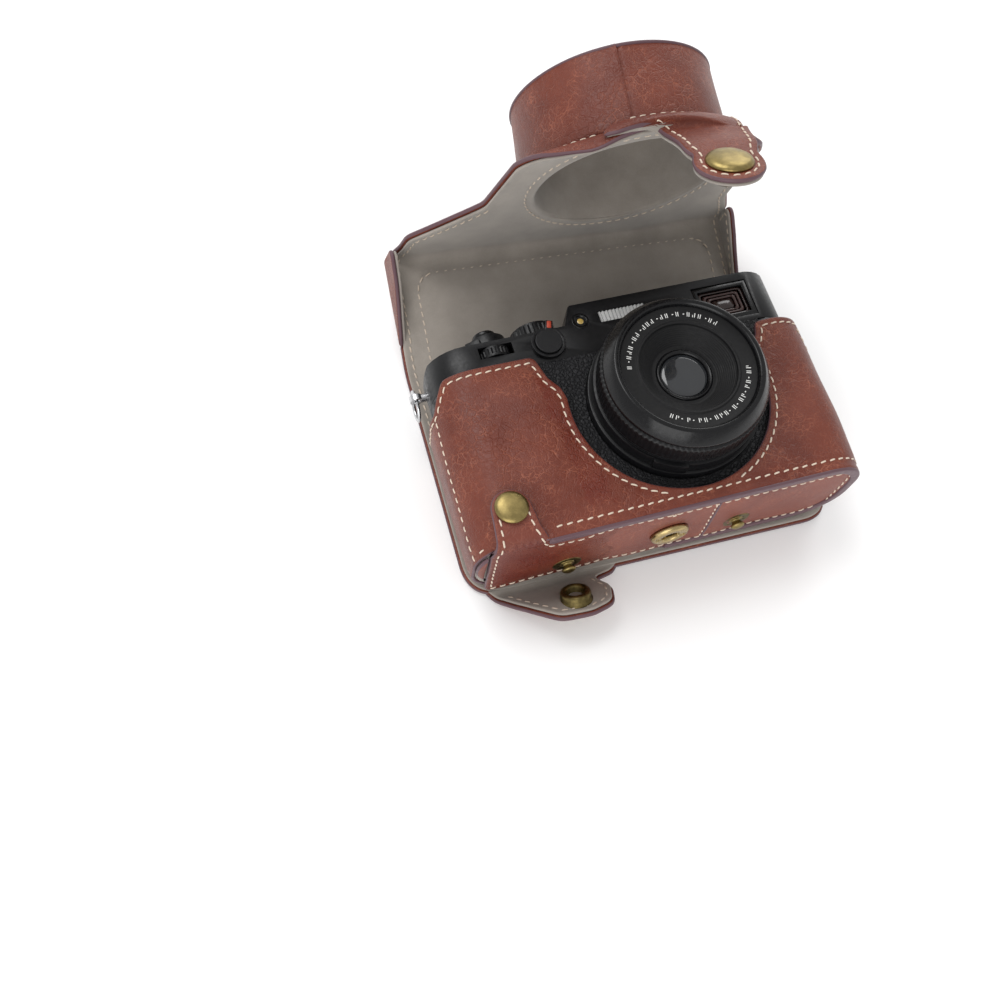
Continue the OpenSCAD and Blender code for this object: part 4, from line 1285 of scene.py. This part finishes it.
def softened(node, material, width):
    """A CAD node's shape with its sharp edges broken, as a piece that stands for it."""
    source = frame["nodes"][node]
    mesh = source.data.copy()
    mesh.materials.clear()
    mesh.materials.append(MAT[material])
    work = bmesh.new()
    work.from_mesh(mesh)
    bmesh.ops.remove_doubles(work, verts=work.verts, dist=1e-6)
    bmesh.ops.dissolve_limit(work, angle_limit=math.radians(0.5), verts=work.verts, edges=work.edges)
    work.to_mesh(mesh)
    work.free()
    mesh.polygons.foreach_set("material_index", [0] * len(mesh.polygons))
    piece = bpy.data.objects.new(node + "_finish", mesh)
    bpy.context.collection.objects.link(piece)
    bevel = piece.modifiers.new("Broken edges", "BEVEL")
    bevel.width, bevel.segments, bevel.limit_method = width * MM, 2, "ANGLE"
    bevel.angle_limit = math.radians(32)
    bevel.use_clamp_overlap = True
    bpy.context.view_layer.update()
    done = bpy.data.meshes.new_from_object(piece.evaluated_get(bpy.context.evaluated_depsgraph_get()))
    piece.modifiers.clear()
    piece.data = done
    done.polygons.foreach_set("use_smooth", [True] * len(done.polygons))
    done.set_sharp_from_angle(angle=math.radians(28))
    return settle(piece, BODY_OF[node], (node,))


def oblong(lo, hi, cut):
    """A rounded rectangle between two corners, moved in by cut at its ends and less at its sides."""
    x0, y0, x1, y1 = lo.x + cut, lo.y + cut * 0.75, hi.x - cut, hi.y - cut * 0.75
    return rounded([(x0, y0, 0.6), (x1, y0, 0.6), (x1, y1, 0.6), (x0, y1, 0.6)])


class CASE_OT_camera_body(bpy.types.Operator):
    """Casings, shoe, eyepiece, battery door, viewfinder window, lamp bezel and flash ribs of the camera"""

    bl_idname = "case.camera_body"
    bl_label = "Camera body"

    def execute(self, context):
        for node, material, slot, width in (
                ("top_cover", "black_metal", "black_metal", 0.45),
                ("base_cover", "black_metal", "black_metal", 0.3),
                ("front_casing", "black_metal", "black_metal", 0.2),
                ("rear_cover", "black_plastic", "black_plastic", 0.3),
                ("viewfinder_frame", "black_gloss", "black_plastic", 0.25),
                ("hot_shoe", "satin_steel", "steel", 0.15),
                ("eyepiece", "black_plastic", "black_plastic", 0.3),
                ("battery_door", "black_plastic", "black_plastic", 0.3)):
            softened(node, material, width)
        self.windows()
        return {"FINISHED"}

    def windows(self):
        """Nested frames behind the viewfinder glass, the lamp's bezel and the flash's ribs."""
        lo, hi = (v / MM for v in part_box("viewfinder_glass"))
        for k, (cut, depth) in enumerate(((0.0, 0.0), (1.6, 0.8), (3.0, 1.5), (4.4, 2.1))):
            outer = oblong(lo, hi, cut)
            hole = [] if k == 3 else [oblong(lo, hi, cut + 1.1)]
            level = hi.z + 0.25 - depth * 0.25
            ring = sheet(f"viewfinder_step_{k}", loops_of(outer, hole, 0.9),
                         lambda u, v, h, level=level: Vector((u, v, level + h)) * MM, 0.5,
                         ("window" if k in (0, 3) else "window_inner",) * 2, 2.0, rim=(0.12,))
            settle(ring, ROOT, ("viewfinder_glass",) if k == 0 else ())
        lamp_lo, lamp_hi = (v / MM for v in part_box("assist_lamp"))
        centre = (lamp_lo + lamp_hi) / 2
        place = Matrix.Translation(Vector((centre.x, centre.y, 0)) * MM)
        top = lamp_hi.z
        rim = [(1.75, top - 1.2), (1.75, top - 0.1), (2.2, top + 0.35), (2.9, top + 0.35),
               (3.05, top + 0.1), (2.6, top - 1.2)]
        bezel = lathe("lamp_bezel", softened_profile(rim, 0.15), ["black_gloss"], place, 40)
        settle(bezel, ROOT)
        bulge = [(0, top + 0.2), (0.9, top + 0.1), (1.5, top - 0.25), (1.7, top - 0.6), (0, top - 0.9)]
        dome = lathe("lamp_dome", bulge, ["amber"], place, 40)
        settle(dome, ROOT)
        flo, fhi = (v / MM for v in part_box("flash_unit"))
        count = 13
        width = (fhi.x - flo.x) / count
        verts, faces = [], []
        for k in range(count):
            x0, x1 = flo.x + k * width, flo.x + (k + 1) * width
            i = len(verts)
            for x, z in ((x0, fhi.z - 0.55), ((x0 + x1) / 2, fhi.z + 0.02), (x1, fhi.z - 0.55)):
                verts += [Vector((x, flo.y + 0.1, z)) * MM, Vector((x, fhi.y - 0.1, z)) * MM]
            faces += [(i, i + 2, i + 3, i + 1), (i + 2, i + 4, i + 5, i + 3)]
        i = len(verts)
        verts += [Vector((x, y, fhi.z - 2)) * MM
                  for x in (flo.x, fhi.x) for y in (flo.y + 0.1, fhi.y - 0.1)]
        faces.append((i, i + 1, i + 3, i + 2))
        last = i - 2
        faces += [(0, 1, i + 1, i), (last, i + 2, i + 3, last + 1)]
        lower = [6 * k + 2 * j for k in range(count) for j in range(3)]
        faces.append(list(dict.fromkeys(lower)) + [i + 2, i])
        faces.append([n + 1 for n in dict.fromkeys(lower)] + [i + 3, i + 1])
        ribs = new_piece("flash_ribs", verts, faces, ["flash"], smooth=False)
        settle(ribs, ROOT, ("flash_unit",))


class CASE_OT_controls(bpy.types.Operator):
    """Dials, levers and buttons of the camera"""

    bl_idname = "case.controls"
    bl_label = "Controls"

    def execute(self, context):
        for node, material, slot, width in (
                ("shutter_button", "black_gloss", "black_metal", 0.35),
                ("power_lever", "black_metal", "black_metal", 0.3),
                ("shutter_dial", "black_metal", "black_metal", 0.12),
                ("exposure_dial", "black_metal", "black_metal", 0.12),
                ("front_dial", "black_metal", "black_metal", 0.1),
                ("rear_dial", "black_metal", "black_metal", 0.1),
                ("viewfinder_lever", "black_metal", "black_metal", 0.25),
                ("lever_button", "black_plastic", "black_plastic", 0.25)):
            softened(node, material, width)
        self.marks()
        return {"FINISHED"}

    def marks(self):
        """Filled index lines on the dials and the red line on the lever."""
        top = (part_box("viewfinder_lever")[1] / MM).z
        turn = Matrix.Rotation(math.radians(-18), 4, "Z")
        turn = Matrix.Translation(Vector((LEVER_X, LEVER_Y, 0)) * MM) @ turn
        line = rounded([(-0.75, 5.2, 0.3), (0.75, 5.2, 0.3), (0.75, 8.0, 0.3), (-0.75, 8.0, 0.3)], 0.3)
        mark = sheet("lever_mark", loops_of(line, (), 0.4),
                     lambda u, v, h: turn @ (Vector((u, v, top + 0.05 + h)) * MM), 0.25,
                     ("red_mark", "red_mark"), 0.8, rim=(0.1,))
        settle(mark, "viewfinder_lever")
        for name, body, x, z, r, count in (
                ("shutter_dial_marks", "shutter_dial", -34.2, 27, 6.9, 18),
                ("exposure_dial_marks", "exposure_dial", -60, 15.5, 6.7, 13)):
            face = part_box(body)[1].y / MM + 0.05
            verts, faces = [], []
            for k in range(count):
                a = math.tau * k / count
                for dr, da in ((0, -0.03), (0, 0.03), (-1.3, 0.04), (-1.3, -0.04)):
                    verts.append(Vector((x + (r + dr) * math.cos(a + da), face,
                                         z + (r + dr) * math.sin(a + da))) * MM)
                faces.append([4 * k + j for j in range(4)])
            ticks = new_piece(name, verts, faces, ["white_mark"])
            thicken(ticks, 0.0001)
            settle(ticks, body)


class CASE_OT_lens(bpy.types.Operator):
    """Rings, marks and glass of the lens"""

    bl_idname = "case.lens"
    bl_label = "Lens"

    def execute(self, context):
        top = LENS_TOP
        z0 = top - 22.5
        softened("aperture_ring", "black_metal", 0.2)
        softened("lens_base_ring", "black_metal", 0.3)

        def knurl(i, a, r, z):
            return (r + 0.16 * math.cos(96 * a) if r > 26.7 and z0 + 9.6 < z < z0 + 16.2 else r), z

        focus = [(20.05, z0 + 8.9), (26.4, z0 + 8.9), (27.0, z0 + 9.3), (27.0, z0 + 9.9)]
        focus += [(26.9 + 0.12 * (k % 2), z0 + 10.1 + 0.5 * k) for k in range(12)]
        focus += [(27.0, z0 + 16.0), (26.8, z0 + 16.6), (20.05, z0 + 16.8)]
        ring = lathe("focus_ring_knurled", focus, ["black_metal"], None, 576, wave=knurl)
        settle(ring, "focus_ring", ("focus_ring",))
        front = softened_profile([(17.5, z0 + 17), (26.4, z0 + 17), (26.5, z0 + 18.3),
                                  (24.9, top - 1.7), (23.7, top), (22.2, top), (21.6, top - 1.2),
                                  (21.6, top - 3), (17.5, top - 3)], 0.35)
        barrel = lathe("front_ring_finish", front, ["black_gloss"], None, 144)
        settle(barrel, ROOT, ("front_ring",))
        name_face = [(15.4, top - 3.0), (21.6, top - 3.0), (21.6, top - 1.35), (20.9, top - 1.5),
                     (16.6, top - 1.9), (16.2, top - 1.5), (15.6, top - 1.6), (15.4, top - 2.2)]
        face = lathe("name_ring_finish", softened_profile(name_face, 0.12), ["black_matt"], None, 144)
        settle(face, ROOT, ("name_ring",))
        steps = [(15.8, top - 11)]
        for k in range(11):
            r = 15.7 - 0.50 * k
            z = top - 2.3 - 0.46 * k
            steps += [(r, z), (r - 0.12, z - 0.22), (r - 0.40, z - 0.20)]
        steps += [(9.9, top - 7.4), (9.4, top - 7.0), (9.0, top - 7.2), (8.6, top - 11)]
        cone = lathe("lens_cone", steps, ["black_matt"], None, 144)
        settle(cone, ROOT, ("lens_elements",))
        bowl = [(0, top - 7.0), (2, top - 7.02), (4, top - 7.10), (6, top - 7.22), (7.3, top - 7.36),
                (7.6, top - 7.9), (0, top - 9.5)]
        glass = lathe("front_element", bowl, ["glass"], None, 96)
        settle(glass, ROOT, ("front_glass",))
        lip = softened_profile([(7.3, top - 10), (9.2, top - 10), (9.2, top - 7.0), (8.5, top - 6.4),
                                (7.6, top - 7.1)], 0.25)
        holder = lathe("front_element_holder", lip, ["black_gloss"], None, 96)
        settle(holder, ROOT)
        self.marks(top)
        return {"FINISHED"}

    def marks(self, top):
        """Plain strokes filled with white round the name ring, in two arcs."""
        verts, faces = [], []

        def stroke(a, r0, r1, half):
            i = len(verts)
            for r, way in ((r0, -1), (r0, 1), (r1, 1), (r1, -1)):
                b = a + way * half / r
                z = top - 1.5 - (20.9 - r) * 0.4 / 4.5 + 0.03
                verts.append(Vector((r * math.cos(b), r * math.sin(b), z)) * MM)
            faces.append([i, i + 1, i + 2, i + 3])

        for start, end, pattern in ((168, 42, "101110110111011010111011"),
                                    (232, 345, "1101011011101011011011")):
            for k, kind in enumerate(pattern):
                a = math.radians(start + (end - start) * k / (len(pattern) - 1))
                if kind == "1":
                    stroke(a, 18.1, 19.6, 0.12)
                    stroke(a + 0.033, 18.1, 18.9 if k % 2 else 19.6, 0.11)
                else:
                    stroke(a, 18.7, 19.0, 0.22)
        ring = new_piece("name_ring_marks", verts, faces, ["white_mark"], smooth=False)
        thicken(ring, 0.00006)
        settle(ring, ROOT)


class CASE_OT_finishes(bpy.types.Operator):
    """Materials on the CAD nodes that stay as they are"""

    bl_idname = "case.finishes"
    bl_label = "Finishes of the frame's own parts"

    def execute(self, context):
        finish = {"grip_leatherette": "leatherette", "strap_lugs": "steel", "strap_ring_left": "steel",
                  "strap_ring_right": "steel", "assist_lamp": "black_matt", "rear_screen": "screen",
                  "tripod_bush": "satin_steel", "lens_barrel": "black_metal", "iris_unit": "black_matt",
                  "chassis": "alloy", "main_board": "board", "sensor_module": "board",
                  "battery": "cell"}
        for node, key in finish.items():
            mesh = frame["nodes"][node].data
            if not mesh.materials:
                mesh.materials.append(None)
            for i in range(len(mesh.materials)):
                frame["nodes"][node].material_slots[i].link = "OBJECT"
                frame["nodes"][node].material_slots[i].material = MAT[key]
        return {"FINISHED"}


class CASE_OT_stage(bpy.types.Operator):
    """Pale floor, soft lights and the camera"""

    bl_idname = "case.stage"
    bl_label = "Stage"

    def execute(self, context):
        scene = context.scene
        side = 4.0
        mesh = bpy.data.meshes.new("floor")
        plan = ((-side, -side), (side, -side), (side, side), (-side, side))
        mesh.from_pydata([(x, y, -0.0002) for x, y in plan], [], [(0, 1, 2, 3)])
        floor = bpy.data.objects.new("floor", mesh)
        scene.collection.objects.link(floor)
        material, net, shader = start_material("Pale floor", Roughness=0.9)
        where = net.add("ShaderNodeTexCoord").outputs["Object"]
        shade = net.noise(where, 6.0)
        net.tree.links.new(net.mix(shade, (0.95, 0.95, 0.95), (0.97, 0.97, 0.97)),
                           shader.inputs["Base Color"])
        mesh.materials.append(material)
        for name, spot, size, power in (
                ("key_light", (-0.45, 0.75, 1.25), 0.9, 11.0),
                ("fill_light", (-0.5, -0.9, 0.5), 0.9, 6.0),
                ("rim_light", (0.7, 1.0, 0.6), 0.6, 4.0)):
            light = bpy.data.lights.new(name, "AREA")
            light.size, light.energy = size, power
            lamp = bpy.data.objects.new(name, light)
            lamp.location = spot
            ray = Vector((0, 0.02, 0.03)) - Vector(spot)
            lamp.rotation_euler = ray.to_track_quat("-Z", "Y").to_euler()
            scene.collection.objects.link(lamp)
        world = bpy.data.worlds.new("Studio")
        world.use_nodes = True
        world.node_tree.nodes["Background"].inputs[0].default_value = (1, 1, 1, 1)
        world.node_tree.nodes["Background"].inputs[1].default_value = 0.72
        scene.world = world
        scene.view_settings.view_transform = "Standard"
        lens = bpy.data.cameras.new("view_camera")
        lens.sensor_width, lens.lens = 36.0, 37.13
        lens.clip_start, lens.clip_end = 0.02, 20
        camera = bpy.data.objects.new("view_camera", lens)
        ahead = Vector((0.19776, 0.35403, -0.91409)).normalized()
        right = Vector((0.95444, -0.28211, 0.09723))
        right = (right - ahead * right.dot(ahead)).normalized()
        up = right.cross(ahead)
        camera.matrix_world = Matrix.Translation((-0.12758, -0.13277, 0.32820)) @ Matrix(
            (right, up, -ahead)).transposed().to_4x4()
        scene.collection.objects.link(camera)
        scene.camera = camera
        return {"FINISHED"}


class CASE_PT_panel(bpy.types.Panel):
    """Settings and steps of the camera case."""

    bl_label = "Camera Case"
    bl_idname = "CASE_PT_panel"
    bl_space_type = "VIEW_3D"
    bl_region_type = "UI"
    bl_category = "Camera Case"

    def draw(self, context):
        for group in (context.scene.case_sizes, context.scene.case_colours):
            for key in group.__annotations__:
                self.layout.prop(group, key)
        for operator in STEPS:
            self.layout.operator(operator.bl_idname)


STEPS = (CASE_OT_stage, CASE_OT_cover, CASE_OT_lens_cup, CASE_OT_hood_tab, CASE_OT_half_case,
         CASE_OT_bottom_flap,
         CASE_OT_camera_body, CASE_OT_controls, CASE_OT_lens, CASE_OT_finishes)
CLASSES = (CASE_PG_sizes, CASE_PG_colours, *STEPS, CASE_PT_panel)


def register():
    for cls in CLASSES:
        bpy.utils.register_class(cls)
    bpy.types.Scene.case_sizes = PointerProperty(type=CASE_PG_sizes)
    bpy.types.Scene.case_colours = PointerProperty(type=CASE_PG_colours)


def unregister():
    del bpy.types.Scene.case_colours
    del bpy.types.Scene.case_sizes
    for cls in reversed(CLASSES):
        bpy.utils.unregister_class(cls)


def main():
    register()
    build_materials()
    bpy.ops.case.stage()
    bpy.ops.case.cover()
    bpy.ops.case.lens_cup()
    bpy.ops.case.hood_tab()
    bpy.ops.case.half_case()
    bpy.ops.case.bottom_flap()
    bpy.ops.case.camera_body()
    bpy.ops.case.controls()
    bpy.ops.case.lens()
    bpy.ops.case.finishes()


if __name__ == "__main__":
    main()
